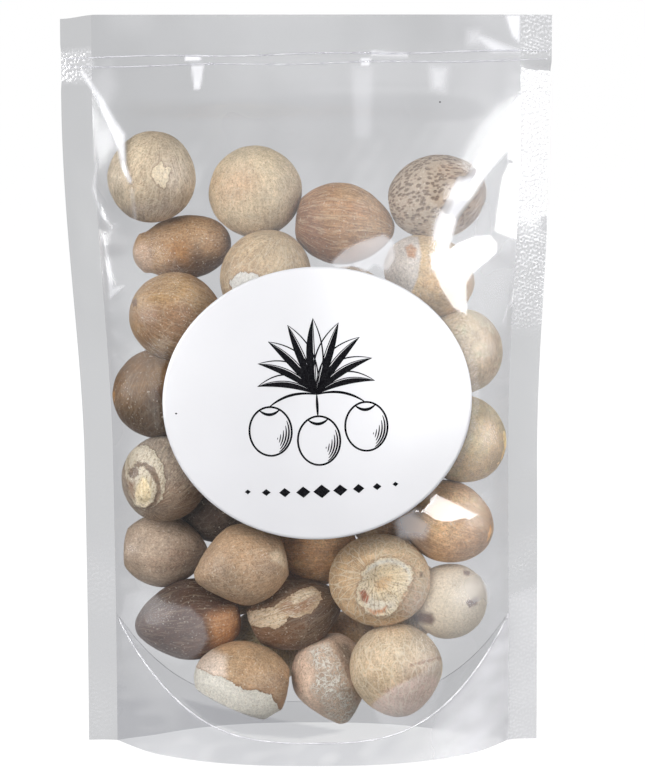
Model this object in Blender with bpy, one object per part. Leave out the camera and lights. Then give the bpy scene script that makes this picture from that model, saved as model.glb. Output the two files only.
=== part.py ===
"""Clear stand-up pouch filled with whole betel nuts, with a plain oval paper label on its front.

Sizes are in millimetres and are turned into metres where a mesh is made.  x runs across the pouch,
y from its front (-) to its back (+), and z up.  The origin is on the table, under the pouch's middle.

The pouch is one closed solid.  Its front and back are two height fields over the flat pouch: a film
stretched over the nuts, sealed down both sides, pressed shut along the zip and opened out by the
gusset at the bottom.  The gusset leaves a recess under the nuts, inside a thin skirt.
"""

import math

import bmesh
import bpy
import numpy as np

MM = 0.001

# The pouch, 150 x 228 mm when flat, as it stands
HEIGHT = 228.0
TOP_HALF_WIDTH = 75.2
BOTTOM_HALF_WIDTH = 70.4
NARROWS_FROM, NARROWS_TO = 200.0, 90.0
BOTTOM_SHIFT = 2.0
SIDE_SEAL = 9.5
SEAL_HALF_THICKNESS = 0.5
TOP_CORNER_DROP, TOP_CORNER_FROM = 1.3, 0.85
MOUTH_WAVE, MOUTH_WAVE_PITCH, MOUTH_WAVE_START, MOUTH_WAVE_FROM = 2.2, 31.0, 0.7, 185.0
EDGE_WAVE, EDGE_WAVE_PITCH, EDGE_WAVE_FROM = 1.2, 27.0, 0.8

# The zip near the mouth, and the lips above it
ZIP_HEIGHT = 213.5
ZIP_RIB_SPACING = 2.8
ZIP_RIB_HEIGHT = 0.8
ZIP_RIB_WIDTH = 1.4
PRESSED_BELOW_ZIP = 7.0
LIP_OPENING, LIPS_START_ABOVE_ZIP, LIPS_FLAT_TO = 1.2, 3.0, 0.6

# The bottom gusset
BASE_HALF_DEPTH = 29.0
BASE_SQUARENESS = 2.6
CORNER_LIFT, CORNER_LIFT_FROM, CORNER_LIFT_TO, CORNER_LIFT_HEIGHT = 1.5, 0.68, 0.95, 30.0
SKIRT_THICKNESS = 1.1
RECESS_HEIGHT, RECESS_SHARE, RECESS_THINNEST = 7.0, 0.93, 0.05
RECESS_COLUMNS, RECESS_ROWS, RECESS_CUT_BELOW = 25, 9, 0.06
GUSSET_HEIGHT = 42.0
GUSSET_CURVE = 3.1

# The film between the nuts
FILM_CLEARANCE = 0.7
FILM_BULGE = 0.003
FILM_CELL = 1.6
FIRST_DEPTH = 10.0
STRETCH_ROUNDS = 1600
SOFTEN_ROUNDS = 10
SOFTEN_SINK = 0.35

# The label
LABEL_CENTRE = (3.4, 111.5)
LABEL_HALF_WIDTH = 47.1
LABEL_HALF_HEIGHT = 41.3
LABEL_TURN = math.radians(3.0)
LABEL_THICKNESS = 0.3
LABEL_GAP = 0.3
LABEL_BEND_ACROSS = 0.0036
LABEL_BEND_UP = 0.0013
LABEL_LEAN = 0.055
FLAT_UNDER_LABEL, CLEAR_UNDER_LABEL, LABEL_SAMPLES = 1.05, 1.04, 81
LABEL_RINGS, LABEL_SPOKES = 6, 64

# The mesh of the pouch
INNER_COLUMNS = 32
SEAL_COLUMNS = 2
ROW_HEIGHT = 4.4
EDGE_COLUMNS = 0.45
LIP_ROWS = 4

# Each nut that shows: x, y, z of its middle, length, width, and the way its tip points,
# as degrees clockwise from up as seen from the front, and degrees towards the viewer
SHOWN_NUTS = (
    (-47.6, 0.0, 178.7, 27.2, 27.2, 10, 20),
    (-15.6, 0.0, 174.4, 28.0, 28.2, -10, 30),
    (11.9, 0.0, 163.9, 30.2, 24.8, 97, 0),
    (40.2, 0.0, 172.8, 30.0, 25.6, 75, 20),
    (-38.8, -1.0, 156.9, 29.8, 19.2, 82, 0),
    (-12.5, -3.0, 150.4, 29.0, 27.6, 20, 20),
    (40.3, -1.0, 149.0, 27.6, 23.5, -60, 20),
    (-41.2, -2.0, 136.2, 27.8, 27.0, -70, 15),
    (-46.9, -3.0, 112.0, 27.0, 26.6, 0, 30),
    (-44.8, -4.0, 85.5, 27.0, 26.0, -150, 55),
    (-45.0, -5.0, 61.6, 26.0, 22.8, 95, 0),
    (-20.5, -13.0, 59.5, 28.5, 24.8, -105, 0),
    (-37.1, -8.0, 40.9, 32.6, 24.8, -98, 0),
    (-4.2, -4.0, 44.2, 28.7, 24.8, 68, 0),
    (-19.7, -12.0, 24.0, 29.6, 24.6, -80, 0),
    (7.3, -11.0, 21.5, 27.2, 24.4, 165, 0),
    (27.1, -11.0, 26.9, 28.0, 28.4, 172, 25),
    (22.7, -13.5, 55.0, 28.0, 31.0, 150, -70),
    (45.4, -3.0, 46.5, 24.0, 23.6, 40, 10),
    (45.1, -6.0, 72.4, 27.9, 24.8, 112, 0),
    (3.0, 0.0, 61.5, 25.0, 24.4, 90, 0),
    (49.0, -2.0, 124.5, 25.6, 25.3, 20, 20),
    (50.0, -3.0, 97.0, 26.4, 25.8, -10, 10),
    (-29.0, -2.0, 74.5, 25.4, 24.4, 60, 20),
)

# The nuts behind the label and in the back layer, which are all much alike: x, y, z
HIDDEN_NUTS = (
    (13.0, -6.0, 137.0),
    (-16.0, -8.0, 123.0),
    (10.0, -9.0, 111.0),
    (-20.0, -9.0, 97.0),
    (6.0, -9.0, 84.0),
    (-12.0, 12.0, 30.0),
    (16.0, 13.0, 28.0),
    (37.0, 11.0, 50.0),
    (-30.0, 11.0, 58.0),
    (18.0, 12.0, 74.0),
    (-10.0, 12.0, 84.0),
    (34.0, 9.0, 92.0),
    (-34.0, 8.0, 100.0),
    (24.0, 9.0, 116.0),
    (-4.0, 9.0, 112.0),
)
HIDDEN_LENGTH = (24.5, 29.0)
HIDDEN_WIDTH = (23.5, 27.0)
HIDDEN_SEED = 7
SETTLE_ROUNDS = 320
SHOWN_MOBILITY = 0.03
FILL_HALF_DEPTH, FILL_THINNING = 27.5, 10.0
FILL_THINS_FROM, FILL_THINS_TO = 90.0, 190.0
FILL_SIDE_GAP = 1.0
FILL_FLOOR_GAP = 0.8
FILL_EDGE_SHARE = 0.2
SETTLE_STEP = 0.35

FILM_COLOUR = (0.80, 0.81, 0.83, 1.0)
LABEL_COLOUR = (0.93, 0.93, 0.95, 1.0)
SHARP_ANGLE = math.radians(40)

INNER_SHARE = 1.0 - SIDE_SEAL / TOP_HALF_WIDTH


def smooth(low, high, value):
    """0 below low, 1 above high, with a smooth rise between them."""
    share = np.clip((np.asarray(value, float) - low) / (high - low), 0.0, 1.0)
    return share * share * (3.0 - 2.0 * share)


def half_width(z):
    """Half the standing pouch's width: the fill draws its sides in."""
    return BOTTOM_HALF_WIDTH + (TOP_HALF_WIDTH - BOTTOM_HALF_WIDTH) * smooth(NARROWS_TO, NARROWS_FROM, z)


def centre_x(z):
    """The pouch leans a little to its left as it rises."""
    return BOTTOM_SHIFT * (1.0 - smooth(0.0, HEIGHT, z))


def middle_y(x, z):
    """The sheet between front and back, gently bent where nothing fills the pouch."""
    mouth = smooth(MOUTH_WAVE_FROM, HEIGHT, z) * np.sin(x / MOUTH_WAVE_PITCH + MOUTH_WAVE_START)
    edge = smooth(EDGE_WAVE_FROM, 1.0, np.abs(x) / half_width(z)) * np.sin(z / EDGE_WAVE_PITCH + np.sign(x))
    return MOUTH_WAVE * mouth + EDGE_WAVE * edge


def gusset_line(share):
    """How high the gusset is sealed to the front and back: low in the middle, rising to the sides."""
    return RECESS_HEIGHT + (GUSSET_HEIGHT - RECESS_HEIGHT) * np.abs(share) ** GUSSET_CURVE


def shape_matrix(length, width, turn, towards):
    """The matrix M of a nut's ellipsoid, v.M.v = 1 on its surface, with its length along its tip."""
    turn, towards = math.radians(turn), math.radians(towards)
    level = math.cos(towards)
    tip = np.array([math.sin(turn) * level, -math.sin(towards), math.cos(turn) * level])
    across, along = (width / 2) ** -2, (length / 2) ** -2
    return across * np.eye(3) + (along - across) * np.outer(tip, tip)


def loose_nuts():
    """(middles, matrices, mobility) of all the nuts before they are pushed apart."""
    draw = np.random.default_rng(HIDDEN_SEED)
    middles = [row[:3] for row in SHOWN_NUTS + HIDDEN_NUTS]
    matrices = [shape_matrix(*row[3:]) for row in SHOWN_NUTS]
    for _ in HIDDEN_NUTS:
        length, width = draw.uniform(*HIDDEN_LENGTH), draw.uniform(*HIDDEN_WIDTH)
        matrices.append(shape_matrix(length, width, draw.uniform(0, 360), draw.uniform(-60, 60)))
    mobility = np.ones((len(middles), 3))
    mobility[: len(SHOWN_NUTS), [0, 2]] = SHOWN_MOBILITY
    return np.array(middles, float), np.array(matrices), mobility


def kept_inside(middles, radii):
    """The nuts' middles, held within the pouch's depth and width and above its gusset."""
    x, y, z = middles.T
    inner = half_width(z) * INNER_SHARE
    line = centre_x(z)
    depth = FILL_HALF_DEPTH - FILL_THINNING * smooth(FILL_THINS_FROM, FILL_THINS_TO, z)
    rounding = np.sqrt(np.clip(1.0 - ((x - line) / inner) ** 2, FILL_EDGE_SHARE**2, 1.0))
    room = np.maximum(depth * rounding - radii, 0.0)
    wide = inner - radii - FILL_SIDE_GAP
    lowest = gusset_line((x - line) / inner) + radii + FILL_FLOOR_GAP
    across = line + np.clip(x - line, -wide, wide)
    return np.stack([across, np.clip(y, -room, room), np.maximum(z, lowest)], axis=1)


def settled_nuts():
    """(middles, matrices): the nuts pushed apart until they only touch, inside the pouch."""
    middles, matrices, mobility = loose_nuts()
    radii = 1.0 / np.sqrt(np.trace(matrices, axis1=1, axis2=2) / 3)
    first, second = np.triu_indices(len(middles), 1)
    for _ in range(SETTLE_ROUNDS):
        gap = middles[second] - middles[first]
        apart = np.linalg.norm(gap, axis=1)
        way = gap / apart[:, None]
        reach = sum(1.0 / np.sqrt(np.einsum("ni,nij,nj->n", way, matrices[k], way)) for k in (first, second))
        push = np.maximum(reach - apart, 0.0)[:, None] * way * SETTLE_STEP
        step = np.zeros_like(middles)
        np.add.at(step, first, -push)
        np.add.at(step, second, push)
        middles = kept_inside(middles + step * mobility, radii)
    return middles, matrices


def reach_of_nuts(nuts, x, z, side):
    """How far the nuts reach from y = 0 towards the front (side -1) or the back (side 1) at x, z."""
    reach = np.zeros(np.shape(x))
    for middle, m in zip(*nuts):
        dx, dz = x - middle[0], z - middle[2]
        half_b = m[0, 1] * dx + m[1, 2] * dz
        c = m[0, 0] * dx**2 + 2 * m[0, 2] * dx * dz + m[2, 2] * dz**2 - 1.0
        inside = half_b**2 - m[1, 1] * c
        far = (side * -half_b + np.sqrt(np.maximum(inside, 0.0))) / m[1, 1]
        reach = np.where(inside > 0, np.maximum(reach, side * middle[1] + far), reach)
    return reach


def base_depth(share):
    """Half the depth of the opened bottom, nearly square in the middle and shut at the side seals."""
    return BASE_HALF_DEPTH * np.clip(1.0 - np.abs(share / INNER_SHARE) ** BASE_SQUARENESS, 0.0, 1.0)


def label_bend(x, z):
    """How far the label lies behind its middle."""
    dx, dz = x - LABEL_CENTRE[0], z - LABEL_CENTRE[1]
    return LABEL_BEND_ACROSS * dx**2 + LABEL_BEND_UP * dz**2 + LABEL_LEAN * dz


def label_share(x, z):
    """0 at the label's middle and 1 at its rim."""
    dx, dz = x - LABEL_CENTRE[0], z - LABEL_CENTRE[1]
    across = dx * math.cos(LABEL_TURN) + dz * math.sin(LABEL_TURN)
    up = dz * math.cos(LABEL_TURN) - dx * math.sin(LABEL_TURN)
    return np.hypot(across / LABEL_HALF_WIDTH, up / LABEL_HALF_HEIGHT)


def label_depth(nuts):
    """The depth of the film under the label's middle, where the label clears every nut behind it."""
    span = np.linspace(-FLAT_UNDER_LABEL, FLAT_UNDER_LABEL, LABEL_SAMPLES)
    x = LABEL_CENTRE[0] + span * LABEL_HALF_WIDTH
    x, z = np.meshgrid(x, LABEL_CENTRE[1] + span * LABEL_HALF_HEIGHT)
    needed = reach_of_nuts(nuts, x, z, -1) + FILM_CLEARANCE + label_bend(x, z)
    return float(needed[label_share(x, z) < CLEAR_UNDER_LABEL].max())


def neighbour_mean(field):
    """The mean of each inner point's four neighbours."""
    return (field[2:, 1:-1] + field[:-2, 1:-1] + field[1:-1, 2:] + field[1:-1, :-2]) / 4


def stretched_film(nuts, side, under_label):
    """(shares, levels, depth): a fine grid of the film's depth from the middle sheet, side to side and
    from the bottom to the zip.  It is the least film over the nuts, with a little air behind it."""
    top = ZIP_HEIGHT - PRESSED_BELOW_ZIP
    shares = np.linspace(-INNER_SHARE, INNER_SHARE, round(2 * INNER_SHARE * TOP_HALF_WIDTH / FILM_CELL) + 1)
    levels = np.linspace(0.0, top, round(top / FILM_CELL) + 1)
    share, z = np.meshgrid(shares, levels)
    x = centre_x(z) + share * half_width(z)
    floor = reach_of_nuts(nuts, x, z, side) + FILM_CLEARANCE - side * middle_y(x, z)
    depth = np.maximum(floor, FIRST_DEPTH)
    depth[:, [0, -1]] = depth[-1] = SEAL_HALF_THICKNESS
    depth[0] = np.maximum(base_depth(shares), SEAL_HALF_THICKNESS)
    fixed = np.zeros(share.shape, bool)
    if side < 0:
        fixed = label_share(x, z) < FLAT_UNDER_LABEL
        depth = np.where(fixed, under_label - label_bend(x, z) + middle_y(x, z), depth)
    fixed = fixed[1:-1, 1:-1]
    inner = (slice(1, -1), slice(1, -1))
    for _ in range(STRETCH_ROUNDS):
        free = np.maximum(neighbour_mean(depth) + FILM_BULGE, floor[inner])
        depth[inner] = np.where(fixed, depth[inner], free)
    for _ in range(SOFTEN_ROUNDS):
        free = np.maximum(0.5 * depth[inner] + 0.5 * neighbour_mean(depth), floor[inner] - SOFTEN_SINK)
        depth[inner] = np.where(fixed, depth[inner], free)
    return shares, levels, depth


def read_grid(shares, levels, depth, share, z):
    """The film's depth at any share and z, read between the grid's points."""
    along = np.clip(np.interp(share, shares, np.arange(len(shares))), 0, len(shares) - 1.001)
    up = np.clip(np.interp(z, levels, np.arange(len(levels))), 0, len(levels) - 1.001)
    c, r = along.astype(int), up.astype(int)
    fc, fr = along - c, up - r
    low = depth[r, c] * (1 - fc) + depth[r, c + 1] * fc
    high = depth[r + 1, c] * (1 - fc) + depth[r + 1, c + 1] * fc
    return low * (1 - fr) + high * fr


def mesh_grid():
    """(share, z) of the mesh's points, in rows from the bottom up, closer together beside the seals."""
    even = np.linspace(-1.0, 1.0, INNER_COLUMNS + 1)
    inner = INNER_SHARE * ((1 - EDGE_COLUMNS) * even + EDGE_COLUMNS * np.sin(even * math.pi / 2))
    seal = np.linspace(INNER_SHARE, 1.0, SEAL_COLUMNS + 1)[1:]
    ribs = [
        ZIP_HEIGHT + side * ZIP_RIB_SPACING / 2 + part * ZIP_RIB_WIDTH / 2
        for side in (-1, 1)
        for part in (-1, 0, 1)
    ]
    below = np.linspace(0.0, ribs[0], round(ribs[0] / ROW_HEIGHT) + 1)[:-1]
    above = np.linspace(ribs[-1], HEIGHT, LIP_ROWS + 1)[1:]
    rows = np.concatenate([below, ribs, above])
    return np.meshgrid(np.concatenate([-seal[::-1], inner, seal]), rows)


def film_depth(fine, share, z):
    """The pouch's half thickness: the stretched film, the flat seals, the zip's ribs and the lips."""
    depth = read_grid(*fine, share, z)
    flat = (np.abs(share) > INNER_SHARE - 1e-6) | (z > ZIP_HEIGHT - PRESSED_BELOW_ZIP)
    depth = np.where(flat, SEAL_HALF_THICKNESS, np.maximum(depth, SEAL_HALF_THICKNESS))
    rib = sum(
        np.clip(1.0 - np.abs(z - ZIP_HEIGHT - at * ZIP_RIB_SPACING / 2) / (ZIP_RIB_WIDTH / 2), 0.0, 1.0)
        for at in (-1, 1)
    )
    open_lips = smooth(ZIP_HEIGHT + LIPS_START_ABOVE_ZIP, HEIGHT, z)
    lips = open_lips * (1.0 - smooth(LIPS_FLAT_TO, INNER_SHARE, np.abs(share)))
    return depth + ZIP_RIB_HEIGHT * rib + LIP_OPENING * lips


def edge_height(share, z):
    """The sealed bottom corners stand just clear of the table, and one top corner droops."""
    lift = smooth(CORNER_LIFT_FROM, CORNER_LIFT_TO, np.abs(share)) * (1.0 - smooth(0.0, CORNER_LIFT_HEIGHT, z))
    drop = smooth(TOP_CORNER_FROM, 1.0, -share) * smooth(ZIP_HEIGHT, HEIGHT, z)
    return z + CORNER_LIFT * lift - TOP_CORNER_DROP * drop


def pouch_sides(nuts, under_label):
    """(front, back): rows of points of the two films."""
    share, z = mesh_grid()
    x = centre_x(z) + share * half_width(z)
    sides = []
    for side in (-1, 1):
        depth = film_depth(stretched_film(nuts, side, under_label), share, z)
        sides.append(np.stack([x, middle_y(x, z) + side * depth, edge_height(share, z)], axis=-1))
    return sides


def solid_between(front, back):
    """A closed mesh between two grids of points that have the same rows and columns."""
    mesh = bmesh.new()
    near, far = [[[mesh.verts.new(point * MM) for point in row] for row in sheet] for sheet in (front, back)]
    rows, columns = front.shape[:2]
    for r in range(rows - 1):
        for c in range(columns - 1):
            mesh.faces.new((near[r][c], near[r][c + 1], near[r + 1][c + 1], near[r + 1][c]))
            mesh.faces.new((far[r][c], far[r + 1][c], far[r + 1][c + 1], far[r][c + 1]))
        mesh.faces.new((near[r][0], near[r + 1][0], far[r + 1][0], far[r][0]))
        mesh.faces.new((near[r + 1][-1], near[r][-1], far[r][-1], far[r + 1][-1]))
    for c in range(columns - 1):
        mesh.faces.new((near[0][c + 1], near[0][c], far[0][c], far[0][c + 1]))
        mesh.faces.new((near[-1][c], near[-1][c + 1], far[-1][c + 1], far[-1][c]))
    return mesh


def add_object(name, mesh, material):
    """A new object from a bmesh, facing out and shaded smooth."""
    data = bpy.data.meshes.new(name)
    bmesh.ops.recalc_face_normals(mesh, faces=mesh.faces)
    mesh.to_mesh(data)
    mesh.free()
    data.materials.append(material)
    data.shade_smooth()
    data.set_sharp_from_angle(angle=SHARP_ANGLE)
    made = bpy.data.objects.new(name, data)
    bpy.context.scene.collection.objects.link(made)
    return made


def plain_material(name, colour, roughness):
    material = bpy.data.materials.new(name)
    material.use_nodes = True
    shader = material.node_tree.nodes["Principled BSDF"]
    shader.inputs["Base Color"].default_value = colour
    shader.inputs["Roughness"].default_value = roughness
    return material


def recess_solid(front, back):
    """The space under the gusset, inside the skirt."""
    share, z = mesh_grid()
    levels = z[:, 0]
    shares = np.linspace(-RECESS_SHARE, RECESS_SHARE, RECESS_COLUMNS)
    parts = np.concatenate([[-RECESS_CUT_BELOW], np.linspace(0.0, 1.0, RECESS_ROWS)])
    sheets = [np.zeros((len(parts), len(shares), 3)) for _ in range(2)]
    for c, across in enumerate(shares):
        column = across * INNER_SHARE
        for r, height in enumerate(parts * gusset_line(across)):
            level = max(height, 0.0)
            x = centre_x(level) + column * half_width(level)
            for sheet, side, points in zip(sheets, (-1, 1), (front, back)):
                line = [np.interp(column, share[0], row) for row in points[..., 1]]
                depth = side * np.interp(level, levels, line) - SKIRT_THICKNESS
                sheet[r, c] = (x, side * max(depth, RECESS_THINNEST), height)
    return solid_between(*sheets)


def build_pouch(front, back):
    film = plain_material("clear_film", FILM_COLOUR, 0.12)
    pouch = add_object("pouch", solid_between(front, back), film)
    cutter = add_object("gusset_recess", recess_solid(front, back), film)
    cutter.hide_render = True
    cutter.display_type = "WIRE"
    cut = pouch.modifiers.new("recess", "BOOLEAN")
    cut.operation = "DIFFERENCE"
    cut.object = cutter


def label_point(radius, angle, depth):
    """A point of the label, radius being 1 at its rim."""
    across = radius * LABEL_HALF_WIDTH * math.cos(angle)
    up = radius * LABEL_HALF_HEIGHT * math.sin(angle)
    x = LABEL_CENTRE[0] + across * math.cos(LABEL_TURN) - up * math.sin(LABEL_TURN)
    z = LABEL_CENTRE[1] + across * math.sin(LABEL_TURN) + up * math.cos(LABEL_TURN)
    return x * MM, (float(label_bend(x, z)) - depth) * MM, z * MM


def build_label(under_label):
    """A thin oval sheet that lies on the film all over."""
    mesh = bmesh.new()
    turns = [2 * math.pi * spoke / LABEL_SPOKES for spoke in range(LABEL_SPOKES)]
    sheets = []
    for lift in (LABEL_GAP + LABEL_THICKNESS, LABEL_GAP):
        depth = under_label + lift
        middle = mesh.verts.new(label_point(0.0, 0.0, depth))
        rings = [
            [mesh.verts.new(label_point(ring / LABEL_RINGS, turn, depth)) for turn in turns]
            for ring in range(1, LABEL_RINGS + 1)
        ]
        for spoke in range(LABEL_SPOKES):
            mesh.faces.new((middle, rings[0][spoke - 1], rings[0][spoke]))
            for inner, outer in zip(rings, rings[1:]):
                mesh.faces.new((inner[spoke - 1], outer[spoke - 1], outer[spoke], inner[spoke]))
        sheets.append(rings[-1])
    near, far = sheets
    for spoke in range(LABEL_SPOKES):
        mesh.faces.new((near[spoke - 1], far[spoke - 1], far[spoke], near[spoke]))
    add_object("label", mesh, plain_material("label_paper", LABEL_COLOUR, 0.45))


def main():
    for old in list(bpy.data.objects):
        bpy.data.objects.remove(old)
    nuts = settled_nuts()
    under_label = label_depth(nuts)
    build_pouch(*pouch_sides(nuts, under_label))
    build_label(under_label)


main()
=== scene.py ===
"""Looks of a clear stand-up pouch full of whole betel nuts: its film, its nuts, its label and the studio.

Sizes are in millimetres and are turned into metres where a mesh is made.  Those of the floor, the lights
and the relief in the materials are in metres.  x runs across the pouch, y from its front (-) to its
back (+), and z up.  Places on a nut are given as it is seen from the front.
"""

import math
from types import SimpleNamespace

import bmesh
import bpy
import numpy as np
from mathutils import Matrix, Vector

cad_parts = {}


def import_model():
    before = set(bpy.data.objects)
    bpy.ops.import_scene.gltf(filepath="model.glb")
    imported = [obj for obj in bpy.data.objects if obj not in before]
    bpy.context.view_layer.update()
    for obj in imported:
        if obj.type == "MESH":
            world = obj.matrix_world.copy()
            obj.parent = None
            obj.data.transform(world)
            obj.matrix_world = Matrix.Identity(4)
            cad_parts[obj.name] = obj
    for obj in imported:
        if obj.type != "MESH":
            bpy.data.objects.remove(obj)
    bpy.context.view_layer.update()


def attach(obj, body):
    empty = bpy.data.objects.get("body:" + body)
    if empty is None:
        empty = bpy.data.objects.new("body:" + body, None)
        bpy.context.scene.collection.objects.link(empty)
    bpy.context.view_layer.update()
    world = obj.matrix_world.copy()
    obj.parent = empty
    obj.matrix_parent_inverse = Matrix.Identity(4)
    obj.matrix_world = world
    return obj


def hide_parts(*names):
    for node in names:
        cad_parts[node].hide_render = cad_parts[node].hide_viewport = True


MM = 0.001
WHITE = (1.0, 1.0, 1.0, 1.0)

# The pouch, 150 x 228 mm when flat, as it stands
HEIGHT = 228.0
TOP_HALF_WIDTH = 75.2
BOTTOM_HALF_WIDTH = 70.4
NARROWS_FROM, NARROWS_TO = 200.0, 90.0
BOTTOM_SHIFT = 2.0
SIDE_SEAL = 9.5
SEAL_HALF_THICKNESS = 0.5
SEAL_TURN = 4.0
TOP_CORNER_DROP, TOP_CORNER_FROM = 1.3, 0.85
MOUTH_WAVE, MOUTH_WAVE_PITCH, MOUTH_WAVE_START, MOUTH_WAVE_FROM = 2.2, 31.0, 0.7, 185.0
EDGE_WAVE, EDGE_WAVE_PITCH, EDGE_WAVE_FROM = 1.2, 27.0, 0.8
INNER_SHARE = 1.0 - SIDE_SEAL / TOP_HALF_WIDTH

# The zip near the mouth, with its wavy beads, and the lips above it.  Front and back are pressed together
# from a little below the zip, and the film eases in to that.
ZIP_HEIGHT = 213.5
ZIP_RIB_SPACING = 2.8
ZIP_RISE = 1.1
ZIP_WAVE, ZIP_WAVES = 0.25, 9.0
ZIP_BEAD_DEPTH, ZIP_BEAD_WAVE, ZIP_BEAD_WAVES, ZIP_BEAD_CRUSHED = 0.35, 0.1, 40.0, 0.45
ZIP_FRONT_RADIUS, ZIP_BACK_RADIUS = 0.24, 0.12
ZIP_STRIP, ZIP_STRIP_REACH = 0.35, 4.5
PRESSED_BELOW_ZIP = 7.0
EASES_IN_OVER = 11.0
LIP_OPENING, LIPS_START_ABOVE_ZIP, LIPS_FLAT_TO = 1.2, 3.0, 0.6

# The bottom gusset, and the bead along its seal
BASE_HALF_DEPTH = 29.0
BASE_SQUARENESS = 2.6
CORNER_LIFT, CORNER_LIFT_FROM, CORNER_LIFT_TO, CORNER_LIFT_HEIGHT = 1.5, 0.68, 0.95, 30.0
RECESS_HEIGHT = 7.0
GUSSET_HEIGHT = 42.0
GUSSET_CURVE = 3.1
GUSSET_SAG, GUSSET_WAVE, GUSSET_WAVE_PITCH, GUSSET_DEPTH_SHARE = 1.1, 0.3, 26.0, 0.995
BEAD_END, BEAD_OFFSET, BEAD_RADIUS, BEAD_THICKER, BEAD_BACK_SHARE = 0.985, 0.15, 0.21, 0.08, 0.25

# The film stretched over the nuts
FILM_CLEARANCE = 0.7
ROOM_FOR_LUMPS = 0.4
FILM_BULGE = 0.003
FILM_CELL = 1.6
FIRST_DEPTH = 10.0
STRETCH_ROUNDS = 1600
FINE_CELL = 1.1
FINE_ROUNDS = 60
FINE_SINK = 0.15

# How far the film stands from the middle sheet where it is pressed shut, over what distance it closes to
# its seals and steps out beside them, and where it lies on the nuts, with how round its bends there are
FILM_GAP = 0.12
CLOSES_OVER, STEPS_OUT_OVER, STEPS_OUT = 1.5, 1.0, 0.3
NUTS_REACH_FROM, NUTS_REACH_TO, TOUCH_ROUNDING = 1.5, 3.0, 0.25

# The loose film: how high and how far apart the puckers at its seals, its slack and its fine slack are
PUCKER, PUCKER_PITCH, PUCKER_REACH = 0.30, 9.0, 6.0
SLACK, SLACK_PITCH, SLACK_UPRIGHT = 0.22, 24.0, 0.35
FINE_SLACK, FINE_SLACK_PITCH = 0.05, 7.0

# How fine the meshes are: points across and up the films, as far as the zip, and more rows above that;
# points across and up a side seal and along and across the gusset; the balls that nuts are made from
FRONT_GRID, BACK_GRID = (201, 300), (121, 186)
ROWS_FROM, ROWS_ABOVE = 204.0, 31
SEAL_GRID, GUSSET_GRID = (30, 660), (101, 31)
FINE_BALL, PLAIN_BALL = 6, 5

# The label: its middle as x and z, half its size, how it is turned, how thick it is and how far it stands
# off the film, how it bends and leans, where the film under it is flat, its slow wave, and its mesh
LABEL_CENTRE = (3.4, 111.5)
LABEL_HALF_WIDTH = 47.1
LABEL_HALF_HEIGHT = 41.3
LABEL_TURN = math.radians(3.0)
LABEL_THICKNESS = 0.3
LABEL_GAP = 0.3
LABEL_BEND_ACROSS = 0.0036
LABEL_BEND_UP = 0.0013
LABEL_LEAN = 0.055
FLAT_UNDER_LABEL, CLEAR_UNDER_LABEL, LABEL_SAMPLES = 1.05, 1.04, 81
LABEL_WAVE, LABEL_WAVE_PITCH = 0.16, 46.0
PAPER_THICKNESS, INK_LIFT = 0.12, 0.04
LABEL_GRID = (48, 192)
PAPER_TONES = ((0.51, 0.51, 0.53, 1.0), (0.53, 0.53, 0.55, 1.0))
INK_TONES = ((0.004, 0.004, 0.005, 1.0), (0.014, 0.014, 0.016, 1.0))

# What is printed on the label, right and up of its middle: a palm crown, three nuts under it with half
# the size of each, a row of lozenges, and a speck
CROWN = (0.0, 3.0)
LEAF_ANGLES = range(10, 171, 20)
LEAF_LENGTH, LEAF_LONGER, LEAF_BEND, LEAF_FAT, LEAF_GAP = 17.0, 6.0, 0.16, 0.11, 0.15
PRINTED_NUTS = ((-14.5, -7.5), (0.0, -11.0), (14.5, -7.5))
PRINTED_NUT = (6.4, 7.4)
NUT_SHADES = range(1, 6)
LOZENGES, LOZENGE_SIZE, LOZENGE_SHRINKS = range(-4, 5), 2.6, 0.42
LOZENGE_SPACING, LOZENGE_HEIGHT, LOZENGE_BOW, LOZENGE_FLATNESS = 5.6, -26.5, 0.05, 0.8
SPECK, SPECK_SIZE = (-43.0, -1.4), (0.35, 0.25)
THIN_LINE, MIDDLE_LINE, THICK_LINE, STALK_LINE, CAP_LINE = 0.3, 0.45, 0.6, 0.8, 0.9

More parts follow.
